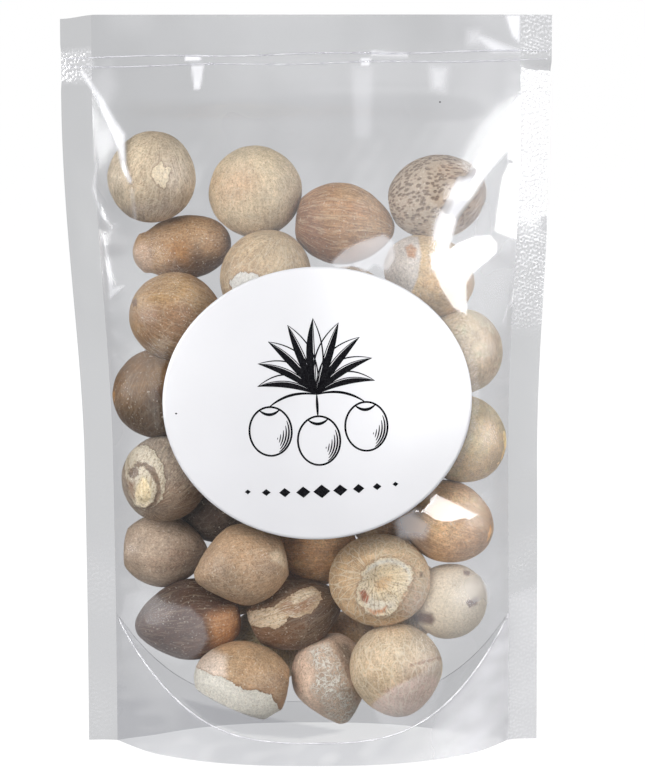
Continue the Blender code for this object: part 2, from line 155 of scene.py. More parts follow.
# Each nut that shows: x, y, z of its middle, length, width, and the way its tip points,
# as degrees clockwise from up as seen from the front, and degrees towards the viewer
SHOWN_NUTS = (
    (-47.6, 0.0, 178.7, 27.2, 27.2, 10, 20),
    (-15.6, 0.0, 174.4, 28.0, 28.2, -10, 30),
    (11.9, 0.0, 163.9, 30.2, 24.8, 97, 0),
    (40.2, 0.0, 172.8, 30.0, 25.6, 75, 20),
    (-38.8, -1.0, 156.9, 29.8, 19.2, 82, 0),
    (-12.5, -3.0, 150.4, 29.0, 27.6, 20, 20),
    (40.3, -1.0, 149.0, 27.6, 23.5, -60, 20),
    (-41.2, -2.0, 136.2, 27.8, 27.0, -70, 15),
    (-46.9, -3.0, 112.0, 27.0, 26.6, 0, 30),
    (-44.8, -4.0, 85.5, 27.0, 26.0, -150, 55),
    (-45.0, -5.0, 61.6, 26.0, 22.8, 95, 0),
    (-20.5, -13.0, 59.5, 28.5, 24.8, -105, 0),
    (-37.1, -8.0, 40.9, 32.6, 24.8, -98, 0),
    (-4.2, -4.0, 44.2, 28.7, 24.8, 68, 0),
    (-19.7, -12.0, 24.0, 29.6, 24.6, -80, 0),
    (7.3, -11.0, 21.5, 27.2, 24.4, 165, 0),
    (27.1, -11.0, 26.9, 28.0, 28.4, 172, 25),
    (22.7, -13.5, 55.0, 28.0, 31.0, 150, -70),
    (45.4, -3.0, 46.5, 24.0, 23.6, 40, 10),
    (45.1, -6.0, 72.4, 27.9, 24.8, 112, 0),
    (3.0, 0.0, 61.5, 25.0, 24.4, 90, 0),
    (49.0, -2.0, 124.5, 25.6, 25.3, 20, 20),
    (50.0, -3.0, 97.0, 26.4, 25.8, -10, 10),
    (-29.0, -2.0, 74.5, 25.4, 24.4, 60, 20),
)

# The nuts behind the label and in the back layer, which are all much alike: x, y, z
HIDDEN_NUTS = (
    (13.0, -6.0, 137.0),
    (-16.0, -8.0, 123.0),
    (10.0, -9.0, 111.0),
    (-20.0, -9.0, 97.0),
    (6.0, -9.0, 84.0),
    (-12.0, 12.0, 30.0),
    (16.0, 13.0, 28.0),
    (37.0, 11.0, 50.0),
    (-30.0, 11.0, 58.0),
    (18.0, 12.0, 74.0),
    (-10.0, 12.0, 84.0),
    (34.0, 9.0, 92.0),
    (-34.0, 8.0, 100.0),
    (24.0, 9.0, 116.0),
    (-4.0, 9.0, 112.0),
)

# Between what the hidden nuts' sizes, tips and looks are drawn, how the nuts are pushed apart, and how
# much room there is for them: half its depth, where it gets thinner, and the gaps beside and under them
HIDDEN_LENGTH = (24.5, 29.0)
HIDDEN_WIDTH = (23.5, 27.0)
HIDDEN_SEED = 7
HIDDEN_TOWARDS, HIDDEN_SECOND_PLACE, HIDDEN_STRENGTH, HIDDEN_POINT = (-60, 60), (-0.6, 0.6), (0.1, 0.8), 0.05
SETTLE_ROUNDS = 320
SETTLE_STEP = 0.35
SHOWN_MOBILITY = 0.03
FILL_HALF_DEPTH, FILL_THINNING = 27.5, 10.0
FILL_THINS_FROM, FILL_THINS_TO = 90.0, 190.0
FILL_SIDE_GAP = 1.0
FILL_FLOOR_GAP = 0.8
FILL_EDGE_SHARE = 0.2

# The nuts' looks, in the order above: the shell's colour on a screen from 0 to 255, a second colour and
# where that lies (right, up), how strong its streaks, its net and its veins are, and how pointed its tip is.
# The second colour is partly the shell's own and partly painted light and shade: on most nuts it is darker
# and lies low, as painted shade.
NUT_LOOKS = (
    ((200, 183, 158), (184, 166, 144), (0.5, -0.6), 0.60, 0.0, 0.45, 0.00),
    ((204, 185, 154), (187, 168, 140), (0.4, -0.7), 0.35, 0.0, 0.30, 0.00),
    ((171, 129, 91), (184, 147, 107), (0.6, 0.6), 1.00, 0.0, 0.00, 0.12),
    ((154, 133, 112), (189, 155, 123), (0.8, -0.1), 0.30, 1.0, 0.10, 0.00),
    ((160, 127, 92), (100, 72, 48), (0.5, -0.75), 0.20, 0.0, 0.15, 0.00),
    ((188, 165, 132), (176, 151, 120), (-0.4, -0.5), 0.30, 0.0, 0.45, 0.00),
    ((206, 178, 138), (196, 160, 118), (0.8, -0.2), 0.30, 0.0, 0.30, 0.00),
    ((166, 133, 92), (132, 100, 66), (0.1, -0.7), 0.35, 0.0, 0.20, 0.00),
    # Nut 9 is dark all over, and darker low down, as painted shade
    ((106, 74, 36), (70, 44, 22), (0.3, -0.7), 0.20, 0.0, 0.10, 0.00),
    ((155, 141, 126), (142, 118, 97), (0.5, -0.7), 0.70, 0.0, 0.20, 0.00),
    ((172, 151, 131), (151, 127, 107), (0.6, -0.5), 0.25, 0.0, 0.15, 0.15),
    ((174, 142, 110), (156, 130, 104), (-0.2, -0.6), 0.25, 0.0, 0.18, 0.30),
    ((65, 38, 25), (77, 45, 26), (0.6, -0.3), 0.38, 0.0, 0.00, 0.14),
    ((112, 80, 56), (86, 66, 50), (0.8, 0.0), 0.30, 0.0, 0.15, 0.10),
    ((167, 137, 104), (146, 114, 86), (0.5, -0.6), 0.15, 0.0, 0.15, 0.00),
    ((212, 184, 162), (184, 156, 134), (0.6, 0.3), 0.35, 0.0, 0.15, 0.30),
    ((202, 180, 150), (188, 163, 138), (0.6, -0.5), 0.30, 0.0, 0.75, 0.10),
    ((196, 164, 126), (216, 184, 154), (0.8, -0.1), 0.25, 0.0, 0.95, 0.00),
    # Nut 19 is painted pale, partly as a sheen
    ((252, 234, 208), (246, 222, 194), (0.2, -0.8), 0.05, 0.0, 0.15, 0.00),
    ((220, 178, 134), (200, 158, 118), (0.4, -0.7), 0.50, 0.0, 0.15, 0.00),
    ((224, 176, 126), (196, 148, 104), (0.0, -0.7), 0.60, 0.0, 0.10, 0.00),
    # Nuts 22 and 23 are painted pale, partly as a highlight in their middles
    ((252, 230, 194), (244, 212, 172), (0.6, -0.3), 0.20, 0.0, 0.30, 0.00),
    ((250, 224, 172), (242, 204, 150), (0.6, -0.3), 0.30, 0.0, 0.25, 0.00),
    ((84, 68, 60), (70, 56, 48), (0.0, -0.8), 0.15, 0.0, 0.10, 0.00),
)
NUTS_A_PIECE = 9
HIDDEN_TONES = (
    (192, 158, 118), (184, 163, 124), (203, 180, 146), (184, 138, 92), (146, 129, 108), (128, 101, 78),
)
BARE_WOOD = (226, 213, 196)
SHELL_GAIN, WOOD_GAIN = 1.3, 1.6
DARKEST, BRIGHTEST = 0.005, 0.92

# A nut's shape: how much it narrows to its tip and its base, where its base is flattened and to what share,
# how far a pointed tip is drawn out, and how high and how far apart its lumps are
NARROWS_TO_TIP, NARROWS_TO_BASE = 0.05, 0.03
BASE_FROM, BASE_SHARE, TIP_STRETCH = -0.86, 0.35, 0.12
LUMPS, LUMP_PITCH, SMALL_LUMPS, SMALL_LUMP_PITCH = 0.008, 1.1, 0.003, 0.35

# How uneven a shell's colour is: where its second tone begins and how ragged that is, and its mottling
SECOND_FROM, SECOND_UNEVEN, SECOND_PITCH = 0.30, 0.25, 0.9
MOTTLING, MOTTLE_PITCH, SMALL_MOTTLING, SMALL_MOTTLE_PITCH = 0.06, 0.55, 0.05, 0.2

# How much the nuts outgrow their ellipsoids, in all and along their tips
NUT_GAIN, LENGTH_GAIN = 1.02, 1.03

# Patches on the nuts, as seen from the front, in millimetres right and up of the picture's middle:
# nut, kind, colour, how soft its edge is, how deep it lies, outline.  A tint colours the shell, a bare
# patch has lost its shell, and a mark colours a part of a bare patch; some of them paint shade or light as
# well, as said beside them.  Without a colour of their own, a pit is a dark hollow, a worm patch is
# covered with pale furrows, and a fibrous one shows the wood's grain.
PATCHES = (
    (1, "bare", (206, 190, 163), 0, 0.15, (
        (-52.6, 68.0), (-51.2, 68.9), (-50.1, 70.2), (-49.2, 68.4), (-47.0, 68.1), (-47.5, 65.8),
        (-48.1, 63.6), (-48.9, 61.3), (-50.6, 62.7), (-52.3, 63.6), (-52.9, 65.8),
    )),
    (1, "tint", (182, 166, 150), 4, 0, (
        (-63.8, 55.2), (-58.8, 57.1), (-47.0, 57.7), (-42.7, 55.2), (-47.0, 50.3), (-60.0, 50.3),
    )),
    (2, "tint", (202, 174, 142), 8, 0, (
        (-34.0, 62.7), (-29.0, 67.6), (-22.8, 68.9), (-20.3, 65.2), (-21.6, 60.2), (-26.5, 56.5),
        (-32.1, 56.5),
    )),
    (3, "tint", (138, 98, 68), 6, 0, (
        (-9.2, 54.6), (-6.1, 58.3), (-2.3, 53.4), (0.8, 46.5), (4.5, 41.0), (2.6, 36.6), (-4.2, 40.3),
        (-8.5, 47.8),
    )),
    (4, "tint", (192, 158, 126), 5, 0, (
        (41.7, 62.7), (49.2, 65.2), (52.3, 56.5), (49.2, 46.5), (41.7, 46.5), (40.5, 54.0),
    )),
    (5, "tint", (180, 150, 124), 3.0, 0, (
        (-59.4, 43.4), (-55.7, 45.3), (-53.3, 42.8), (-52.9, 37.9), (-55.1, 34.1), (-58.8, 35.4),
    )),
    (5, "tint", (150, 108, 66), 6, 0, (
        (-48.9, 44.7), (-42.7, 45.9), (-40.2, 42.8), (-42.7, 39.1), (-47.6, 39.7),
    )),
    # White flakes on nut 6, partly a painted highlight
    (6, "bare", (244, 240, 232), 0, -0.15, (
        (-29.0, 32.3), (-26.5, 35.1), (-24.0, 35.7), (-20.0, 34.8), (-20.3, 33.2), (-24.0, 31.6),
        (-27.8, 29.8),
    )),
    (7, "tint", (206, 198, 191), 1.0, 0, (
        (18.2, 44.1), (21.9, 46.5), (25.6, 47.2), (29.6, 46.5), (30.6, 41.0), (29.6, 34.1), (27.5, 29.2),
        (20.6, 30.4), (17.5, 36.0),
    )),
    (7, "tint", (176, 130, 96), 1.2, 0, (
        (25.6, 43.4), (27.5, 44.4), (29.3, 42.8), (28.7, 40.0), (26.5, 40.3),
    )),
    (8, "pit", None, 0, 0.6, ((-59.1, 26.7), (-58.2, 27.6), (-57.4, 26.7), (-57.9, 25.1), (-58.8, 25.1))),
    (8, "tint", (140, 106, 76), 6, 0, (
        (-59.4, 23.6), (-53.2, 25.4), (-42.7, 26.7), (-38.9, 21.7), (-42.7, 15.5), (-55.1, 14.3),
    )),
    # Darker low on nut 9: painted shade
    (9, "tint", (74, 52, 28), 8, 0, (
        (-63.8, -7.1), (-58.2, -5.9), (-48.9, -2.8), (-45.1, -8.4), (-47.0, -15.8), (-58.2, -15.8),
    )),
    (10, "bare", (188, 176, 154), 0, -0.25, (
        (-61.0, -20.8), (-58.2, -18.6), (-54.8, -18.0), (-52.0, -19.9), (-49.6, -23.9), (-48.6, -29.5),
        (-49.5, -34.8), (-52.0, -37.2), (-55.1, -38.2), (-58.2, -36.9), (-60.2, -32.6), (-61.3, -25.8),
    )),
    (10, "mark", (178, 164, 134), 1.5, -1.1, (
        (-58.2, -33.8), (-57.7, -30.7), (-56.0, -27.3), (-54.1, -28.2), (-52.6, -31.3), (-52.9, -34.4),
        (-54.8, -36.0), (-56.9, -35.7),
    )),
    (10, "pit", None, 0, 1.5, (
        (-60.2, -25.8), (-58.9, -24.6), (-57.2, -25.4), (-57.0, -27.2), (-58.3, -28.6), (-59.8, -27.8),
    )),
    (10, "pit", None, 0, 1.0, (
        (-59.0, -24.6), (-57.0, -23.4), (-54.5, -23.5), (-52.2, -25.0), (-50.5, -28.9), (-50.0, -33.0),
        (-51.6, -36.6), (-54.3, -38.0), (-56.2, -37.5), (-54.4, -37.1), (-52.6, -35.6), (-51.4, -32.2),
        (-51.9, -29.3), (-53.5, -26.4), (-55.4, -24.8), (-57.2, -24.8),
    )),
    (10, "mark", (140, 110, 88), 2.0, 0.5, (
        (-60.8, -28.7), (-58.4, -29.7), (-58.2, -35.1), (-60.0, -32.6),
    )),
    (10, "fibrous", None, 2, 0, (
        (-61.0, -21.0), (-55.0, -18.0), (-49.0, -24.0), (-49.0, -35.0), (-55.0, -38.0), (-61.0, -33.0),
    )),
    (12, "tint", (200, 176, 146), 1.6, 0, (
        (-16.6, -51.8), (-14.7, -50.6), (-12.6, -50.7), (-10.8, -53.7), (-11.2, -56.5), (-13.2, -55.0),
        (-15.4, -54.0),
    )),
    # Darker top of nut 13: painted shade under the nuts above it
    (13, "tint", (62, 42, 30), 6, 0, (
        (-57.2, -72.3), (-51.7, -63.6), (-44.8, -58.0), (-36.1, -58.0), (-28.1, -66.1), (-36.1, -68.6),
        (-44.2, -68.0), (-51.7, -69.8),
    )),
    (13, "tint", (170, 120, 76), 5, 0, (
        (-35.5, -71.1), (-28.1, -68.6), (-25.0, -72.3), (-28.1, -79.7), (-33.7, -81.0),
    )),
    # Darker top of nut 14: painted shade
    (14, "tint", (84, 64, 48), 3, 0, (
        (-23.7, -68.0), (-15.7, -65.5), (-8.2, -59.3), (2.9, -58.0), (6.7, -64.8), (1.7, -68.0),
        (-2.0, -61.7), (-9.5, -63.6), (-16.3, -67.6),
    )),
    (14, "bare", (186, 164, 136), 0, -0.25, (
        (-23.7, -69.5), (-19.4, -68.9), (-15.0, -68.0), (-10.1, -64.5), (-6.7, -62.7), (-3.3, -61.7),
        (-0.5, -63.6), (-0.2, -65.8), (-3.3, -70.1), (-7.0, -71.4), (-10.1, -71.7), (-11.9, -73.5),
        (-14.7, -75.1), (-17.2, -74.5), (-20.0, -74.8), (-23.7, -73.2),
    )),
    (14, "mark", (142, 112, 88), 3.0, 0, (
        (-13.0, -67.0), (-6.5, -63.8), (-1.5, -65.0), (-4.0, -69.5), (-9.0, -70.8), (-13.5, -70.0),
    )),
    (14, "mark", (214, 196, 168), 1.2, 0, (
        (-10.0, -65.6), (-6.7, -64.0), (-3.3, -62.9), (-2.0, -64.2), (-5.6, -66.0), (-9.0, -67.6),
    )),
    (14, "fibrous", None, 1.5, 0, (
        (-23.7, -68.5), (-10.1, -63.5), (0.0, -62.0), (0.0, -66.0), (-10.1, -73.0), (-23.7, -76.0),
    )),
    (15, "tint", (208, 188, 170), 3.0, 0, (
        (-41.1, -88.4), (-39.9, -84.7), (-34.9, -81.0), (-29.9, -83.5), (-29.9, -90.3), (-35.5, -90.9),
    )),
    # Nut 15's pale wood is partly painted light falling on it from below
    (15, "bare", (244, 238, 224), 0, 0.3, (
        (-40.1, -86.5), (-34.9, -89.1), (-31.0, -90.0), (-27.1, -92.6), (-23.3, -94.1), (-20.0, -93.9),
        (-16.2, -95.6), (-14.2, -98.4), (-12.7, -101.6), (-14.2, -103.8), (-20.7, -103.8), (-29.7, -99.7),
        (-40.1, -93.9), (-41.4, -90.7),
    )),
    (16, "worm", None, 2.5, 0, (
        (-3.9, -81.0), (1.7, -79.7), (5.1, -84.7), (6.7, -89.7), (9.5, -95.9), (11.6, -100.8),
        (8.5, -105.2), (2.3, -103.9), (-0.8, -97.1), (-3.9, -94.0), (-1.7, -88.4), (-4.5, -84.7),
    )),
    # Darker right side of nut 16: painted shade where nut 17 shades it
    (16, "tint", (108, 92, 78), 4, 0, (
        (2.9, -77.9), (8.5, -79.7), (12.9, -90.9), (15.4, -98.4), (10.4, -94.0), (6.7, -87.2),
    )),
    (17, "tint", (206, 176, 158), 2, 0, (
        (14.7, -99.0), (19.7, -94.0), (26.5, -90.9), (34.6, -89.1), (37.7, -94.0), (30.3, -102.1),
        (19.7, -102.7),
    )),
    (17, "tint", (150, 116, 92), 0.4, 0, ((27.1, -85.9), (37.7, -83.3), (37.9, -84.2), (27.3, -86.8))),
    # Lighter top and right of nut 18: painted light
    (18, "tint", (236, 208, 172), 5, 0, (
        (10.0, -49.0), (16.0, -46.4), (26.0, -46.6), (30.5, -51.0), (33.4, -57.0), (32.6, -66.0),
        (29.0, -62.0), (28.4, -56.4), (24.6, -52.8), (16.8, -53.4),
    )),
    (18, "bare", (234, 216, 184), 0, 2.2, (
        (12.6, -57.5), (14.7, -55.2), (17.2, -53.7), (20.9, -53.1), (24.7, -54.0), (27.5, -56.2),
        (27.7, -59.3), (26.0, -63.0), (24.3, -66.1), (22.3, -69.4), (20.3, -70.6), (17.2, -70.9),
        (13.7, -69.6), (11.2, -66.6), (10.9, -63.0), (12.2, -59.9),
    )),
    (18, "mark", (212, 192, 156), 3, 0.5, (
        (13.6, -60.2), (16.2, -56.2), (20.6, -55.0), (24.6, -56.2), (25.4, -60.0), (22.4, -64.0),
        (18.8, -65.2), (15.0, -63.4),
    )),
    (18, "mark", (186, 154, 114), 2.4, 0.3, (
        (15.9, -60.6), (18.6, -58.8), (22.4, -58.0), (22.0, -60.4), (19.6, -63.6), (16.4, -63.8),
    )),
    # A painted highlight along the crater's upper rim
    (18, "mark", (255, 248, 232), 0.6, -0.3, (
        (12.5, -58.4), (14.9, -55.4), (17.3, -54.0), (20.9, -53.4), (24.5, -54.3), (27.1, -56.4),
        (27.4, -59.3), (26.6, -61.6), (27.0, -58.6), (26.4, -56.8), (24.2, -55.1), (20.9, -54.2),
        (17.6, -54.8), (15.3, -56.2),
    )),
    # A painted highlight along the crater's lower rim
    (18, "mark", (255, 244, 222), 1.5, -0.4, (
        (11.9, -64.5), (13.4, -65.6), (16.6, -67.4), (20.4, -67.6), (23.0, -66.4), (22.0, -69.0),
        (17.2, -70.2), (13.6, -68.6),
    )),
    (18, "mark", (142, 84, 60), 0.7, 0.3, (
        (11.4, -63.6), (12.6, -63.0), (14.0, -66.0), (13.6, -67.6), (12.0, -66.4),
    )),
    (18, "mark", (176, 124, 88), 0.7, 0.3, (
        (13.8, -68.8), (16.0, -69.6), (18.4, -69.5), (20.2, -68.4), (19.4, -70.1), (15.8, -70.5),
    )),
    (18, "fibrous", None, 2, 0, (
        (11.0, -61.0), (15.0, -55.0), (21.0, -53.0), (28.0, -56.0), (27.5, -60.0), (22.5, -70.0),
        (17.0, -71.0), (11.0, -66.0),
    )),
    (18, "pit", None, 0, 0.2, ((30.3, -57.5), (31.0, -57.5), (30.9, -59.0), (30.3, -58.8))),
    # The whole front of nut 19 is given pale wood, partly as a painted sheen
    (19, "bare", (255, 238, 210), 0, 0, ((22.0, -45.0), (62.0, -45.0), (62.0, -90.0), (22.0, -90.0))),
    (19, "mark", (104, 80, 66), 1.8, 0, (
        (25.9, -72.3), (30.3, -69.7), (34.0, -70.4), (34.9, -72.3), (34.0, -73.8), (30.3, -73.2),
        (26.5, -74.2),
    )),
    (19, "mark", (116, 90, 72), 0.9, 0, (
        (44.4, -66.8), (46.2, -65.9), (48.6, -64.9), (48.0, -67.5), (45.6, -68.6),
    )),
    (19, "mark", (150, 124, 104), 0.8, 0, ((43.6, -56.8), (45.8, -57.2), (45.4, -58.6), (43.8, -58.2))),
    (19, "pit", None, 0, 0.3, (
        (44.8, -66.4), (46.4, -66.1), (48.2, -65.3), (47.4, -67.3), (45.5, -68.0),
    )),
    (19, "pit", None, 0, 0.2, ((44.0, -57.2), (45.6, -57.5), (45.3, -58.3), (44.0, -57.9))),
    (20, "tint", (150, 122, 100), 5, 0, (
        (19.7, -45.0), (24.0, -43.1), (31.5, -43.7), (34.0, -50.0), (34.0, -55.5), (24.0, -53.7),
    )),
)

# Nuts cut flat: nut, the way the cut faces (x, y, z), at what share of the nut's reach, its face's colour
# The cut face's pale colour is partly painted light falling on it from below
CUTS = ((15, (-0.42, -0.067, -0.909), 0.62, (240, 232, 216)),)

# The nut with a blunt end: where its body starts, how wide the end is, how far it runs into the body, and
# how round their joint is
KNOBBED, BODY_FROM, KNOB_WIDTH, KNOB_OVERLAP, KNOB_ROUNDING, KNOB_WIDEST = 5, -0.86, 0.60, 0.16, 0.16, 1.06

# How some nuts lie and are shaped a little otherwise than in the solids: moved right, back and up, and
# how wide and how high they are
NUDGES = {
    1: (0.3, 0.0, -0.7, 0.98, 1.0),
    2: (0.0, 0.0, -1.7, 1.0, 0.98),
    3: (-0.7, 0.0, 0.0, 1.0, 1.0),
    4: (0.0, 0.0, -1.1, 1.0, 1.0),
    5: (0.0, 0.0, -2.2, 0.98, 1.0),
    6: (0.0, 1.5, -1.6, 1.0, 1.0),
    7: (-2.5, 0.0, -0.5, 1.03, 1.03),
    8: (0.6, 0.0, -1.7, 1.0, 1.0),
    10: (1.5, 0.0, 0.0, 1.0, 1.0),
    11: (1.6, 0.0, -0.6, 1.0, 1.0),
    12: (1.0, 0.0, -1.0, 1.0, 1.0),
    13: (2.7, 0.0, 0.5, 1.0, 1.0),
    14: (0.0, 1.0, -0.3, 1.02, 0.90),
    15: (1.0, 0.0, 0.3, 1.0, 1.0),
    16: (1.8, 10.0, 1.9, 1.0, 1.02),
    17: (-3.0, -3.6, -0.3, 1.0, 1.0),
    18: (1.1, 0.0, -2.0, 1.0, 0.90),
    19: (-3.4, 1.0, 0.4, 1.0, 0.96),
    20: (-1.4, 0.0, 0.0, 1.0, 1.0),
    21: (0.0, -3.5, 0.0, 1.0, 1.0),
    22: (-1.2, 0.0, 0.0, 1.0, 1.0),
}

# Bare patches deeper than this have a raised rim: how high, how far outside their edge, and how wide
RIM_FROM, RIM_HEIGHT, RIM_OUT, RIM_WIDTH = 0.5, 0.6, 0.3, 0.7

# Patches lie only where a nut faces the front, and how far inside them a place is, is kept up to a reach.
# The bare colour begins a little outside a patch's edge, and a dent sinks from its edge inwards.
FRONT_FROM, FAR_OUTSIDE, EDGE_REACH = 0.15, -9.0, 3.0
BARE_MARGIN, CUT_STEEPNESS = 1.0, 1.3
DENT_FROM, DENT_TO = -0.2, 1.2

# Where the grain of a nut's material is read: how wide it is round the tip, and how far nuts are apart in it
GRAIN_WIDTH, GRAIN_APART = 13.0, 37.0

# How much finer the nuts' meshes are on their fronts
FRONT_FINER = 0.4

# The camera, which sees the pouch from a little above
CAMERA_TARGET = (5.0, 0.0, 113.2)
CAMERA_DISTANCE = 1000.0
CAMERA_ELEVATION = math.radians(7.37)
CAMERA_LENS, CAMERA_SENSOR = 149.9, 36.0

# The floor, in metres: it lies just under the pouch and lights nothing
FLOOR_HALF_SIZE, FLOOR_HEIGHT, FLOOR_GLOW = 60.0, -0.0002, 0.97
FLOOR_TONES = ((0.095, 0.095, 0.097, 1.0), (0.105, 0.105, 0.107, 1.0))

# The lights: name, azimuth (0 in front of the pouch, 90 on its right) and elevation in degrees, distance,
# width and height in metres, radiance, whether it lights the pouch, and whether it shows in its gloss
LIGHTS = (
    ("key_softbox", -27, 32, 1.1, 0.70, 0.70, 7.5, True, False),
    ("low_fill", -35, 3, 1.1, 0.60, 0.30, 8.0, True, False),
    ("right_fill", 58, 12, 1.1, 0.50, 0.50, 7.0, True, False),
    ("back_fill", 170, 25, 1.1, 0.80, 0.60, 3.0, True, False),
    ("front_panel", 30, 12, 1.1, 0.95, 1.25, 16.0, False, True),
    ("right_panel", 76, 6, 1.0, 0.95, 0.80, 16.0, False, True),
    ("left_panel", -74, 8, 1.0, 1.00, 0.80, 16.0, False, True),
)
LIGHTS_AIM = (0.0, 0.0, 0.11)
WORLD_STRENGTH = 0.30


def smooth(low, high, value):
    """0 below low, 1 above high, with a smooth rise between them."""
    share = np.clip((np.asarray(value, float) - low) / (high - low), 0.0, 1.0)
    return share * share * (3.0 - 2.0 * share)


def hump(distance, reach):
    """1 at no distance, falling smoothly to 0 at reach."""
    return 1.0 - smooth(0.0, reach, np.abs(distance))


def unit(vector):
    """The vector, one long."""
    vector = np.asarray(vector, float)
    return vector / np.linalg.norm(vector)


def ripples(points, pitch, seed, waves=14):
    """A smooth uneven field, mostly between -1 and 1, with bumps about pitch apart; seed picks which."""
    draw = np.random.default_rng(seed)
    total = np.zeros(points.shape[:-1])
    for _ in range(waves):
        way = unit(draw.normal(size=points.shape[-1])) * draw.uniform(0.7, 1.4)
        total += np.sin(points @ way * (2 * math.pi / pitch) + draw.uniform(0, 2 * math.pi))
    return total * math.sqrt(2.0 / waves) * 0.6


# ---------------------------------------------------------------- the pouch's shape


def half_width(z):
    """Half the standing pouch's width: the fill draws its sides in."""
    return BOTTOM_HALF_WIDTH + (TOP_HALF_WIDTH - BOTTOM_HALF_WIDTH) * smooth(NARROWS_TO, NARROWS_FROM, z)


def centre_x(z):
    """The pouch leans a little to its left as it rises."""
    return BOTTOM_SHIFT * (1.0 - smooth(0.0, HEIGHT, z))


def x_at(share, z):
    """The place across the pouch at a share of its half width."""
    return centre_x(z) + share * half_width(z)


def share_of(x, z):
    """The share of the pouch's half width at x: -1 at its left edge and 1 at its right edge."""
    return (x - centre_x(z)) / half_width(z)


def middle_y(x, z):
    """The sheet between front and back, gently bent where nothing fills the pouch."""
    mouth = smooth(MOUTH_WAVE_FROM, HEIGHT, z) * np.sin(x / MOUTH_WAVE_PITCH + MOUTH_WAVE_START)
    edge = smooth(EDGE_WAVE_FROM, 1.0, np.abs(x) / half_width(z)) * np.sin(z / EDGE_WAVE_PITCH + np.sign(x))
    return MOUTH_WAVE * mouth + EDGE_WAVE * edge


def gusset_line(share):
    """How high the gusset is sealed to the front and back: low in the middle, rising to the sides."""
    return RECESS_HEIGHT + (GUSSET_HEIGHT - RECESS_HEIGHT) * np.abs(share) ** GUSSET_CURVE


def tip_direction(turn, towards):
    """The way a nut's tip points, from its two angles in the list of nuts."""
    turn, towards = math.radians(turn), math.radians(towards)
    level = math.cos(towards)
    return np.array([math.sin(turn) * level, -math.sin(towards), math.cos(turn) * level])


def shape_matrix(length, width, tip):
    """The matrix M of a nut's ellipsoid, v.M.v = 1 on its surface, with its length along its tip."""
    across, along = (width / 2) ** -2, (length / 2) ** -2
    return across * np.eye(3) + (along - across) * np.outer(tip, tip)


def loose_nuts():
    """All the nuts, as dictionaries, before they are pushed apart."""
    draw = np.random.default_rng(HIDDEN_SEED)
    nuts = []
    for row in SHOWN_NUTS:
        nuts.append({"middle": row[:3], "length": row[3], "width": row[4], "tip": tip_direction(*row[5:])})
    for row in HIDDEN_NUTS:
        length, width = draw.uniform(*HIDDEN_LENGTH), draw.uniform(*HIDDEN_WIDTH)
        tip = tip_direction(draw.uniform(0, 360), draw.uniform(*HIDDEN_TOWARDS))
        nuts.append({"middle": row, "length": length, "width": width, "tip": tip})
    return nuts


def kept_inside(middles, radii):
    """The nuts' middles, held within the pouch's depth and width and above its gusset."""
    x, y, z = middles.T
    inner = half_width(z) * INNER_SHARE
    line = centre_x(z)
    depth = FILL_HALF_DEPTH - FILL_THINNING * smooth(FILL_THINS_FROM, FILL_THINS_TO, z)
    rounding = np.sqrt(np.clip(1.0 - ((x - line) / inner) ** 2, FILL_EDGE_SHARE**2, 1.0))
    room = np.maximum(depth * rounding - radii, 0.0)
    wide = inner - radii - FILL_SIDE_GAP
    lowest = gusset_line((x - line) / inner) + radii + FILL_FLOOR_GAP
    across = line + np.clip(x - line, -wide, wide)
    return np.stack([across, np.clip(y, -room, room), np.maximum(z, lowest)], axis=1)


def settled_nuts():
    """The nuts pushed apart until they only touch, inside the pouch."""
    nuts = loose_nuts()
    middles = np.array([nut["middle"] for nut in nuts], float)
    matrices = np.array([shape_matrix(nut["length"], nut["width"], nut["tip"]) for nut in nuts])
    mobility = np.ones((len(middles), 3))
    mobility[: len(SHOWN_NUTS), [0, 2]] = SHOWN_MOBILITY
    radii = 1.0 / np.sqrt(np.trace(matrices, axis1=1, axis2=2) / 3)
    first, second = np.triu_indices(len(middles), 1)
    for _ in range(SETTLE_ROUNDS):
        gap = middles[second] - middles[first]
        apart = np.linalg.norm(gap, axis=1)
        way = gap / apart[:, None]
        reach = sum(1.0 / np.sqrt(np.einsum("ni,nij,nj->n", way, matrices[k], way)) for k in (first, second))
        push = np.maximum(reach - apart, 0.0)[:, None] * way * SETTLE_STEP
        step = np.zeros_like(middles)
        np.add.at(step, first, -push)
        np.add.at(step, second, push)
        middles = kept_inside(middles + step * mobility, radii)
    for nut, middle, matrix in zip(nuts, middles, matrices):
        nut["middle"], nut["matrix"] = middle, matrix
    return nuts


def nudge(nuts):
    """Moves and stretches some nuts a little, from how they are in the solids."""
    for number, (right, back, up, wide, high) in NUDGES.items():
        nut = nuts[number - 1]
        nut["middle"] = nut["middle"] + np.array([right, back, up])
        nut["stretch"] = (wide, 1.0, high)


def reach_of_nuts(nuts, x, z, side):
    """How far the nuts reach from y = 0 towards the front (side -1) or the back (side 1) at x, z."""
    reach = np.zeros(np.shape(x))
    for nut in nuts:
        middle, m = nut["middle"], nut["matrix"]
        dx, dz = x - middle[0], z - middle[2]
        half_b = m[0, 1] * dx + m[1, 2] * dz
        c = m[0, 0] * dx**2 + 2 * m[0, 2] * dx * dz + m[2, 2] * dz**2 - 1.0
        inside = half_b**2 - m[1, 1] * c
        far = (side * -half_b + np.sqrt(np.maximum(inside, 0.0))) / m[1, 1]
        reach = np.where(inside > 0, np.maximum(reach, side * middle[1] + far), reach)
    return reach


def base_depth(share):
    """Half the depth of the opened bottom, nearly square in the middle and shut at the side seals."""
    return BASE_HALF_DEPTH * np.clip(1.0 - np.abs(share / INNER_SHARE) ** BASE_SQUARENESS, 0.0, 1.0)


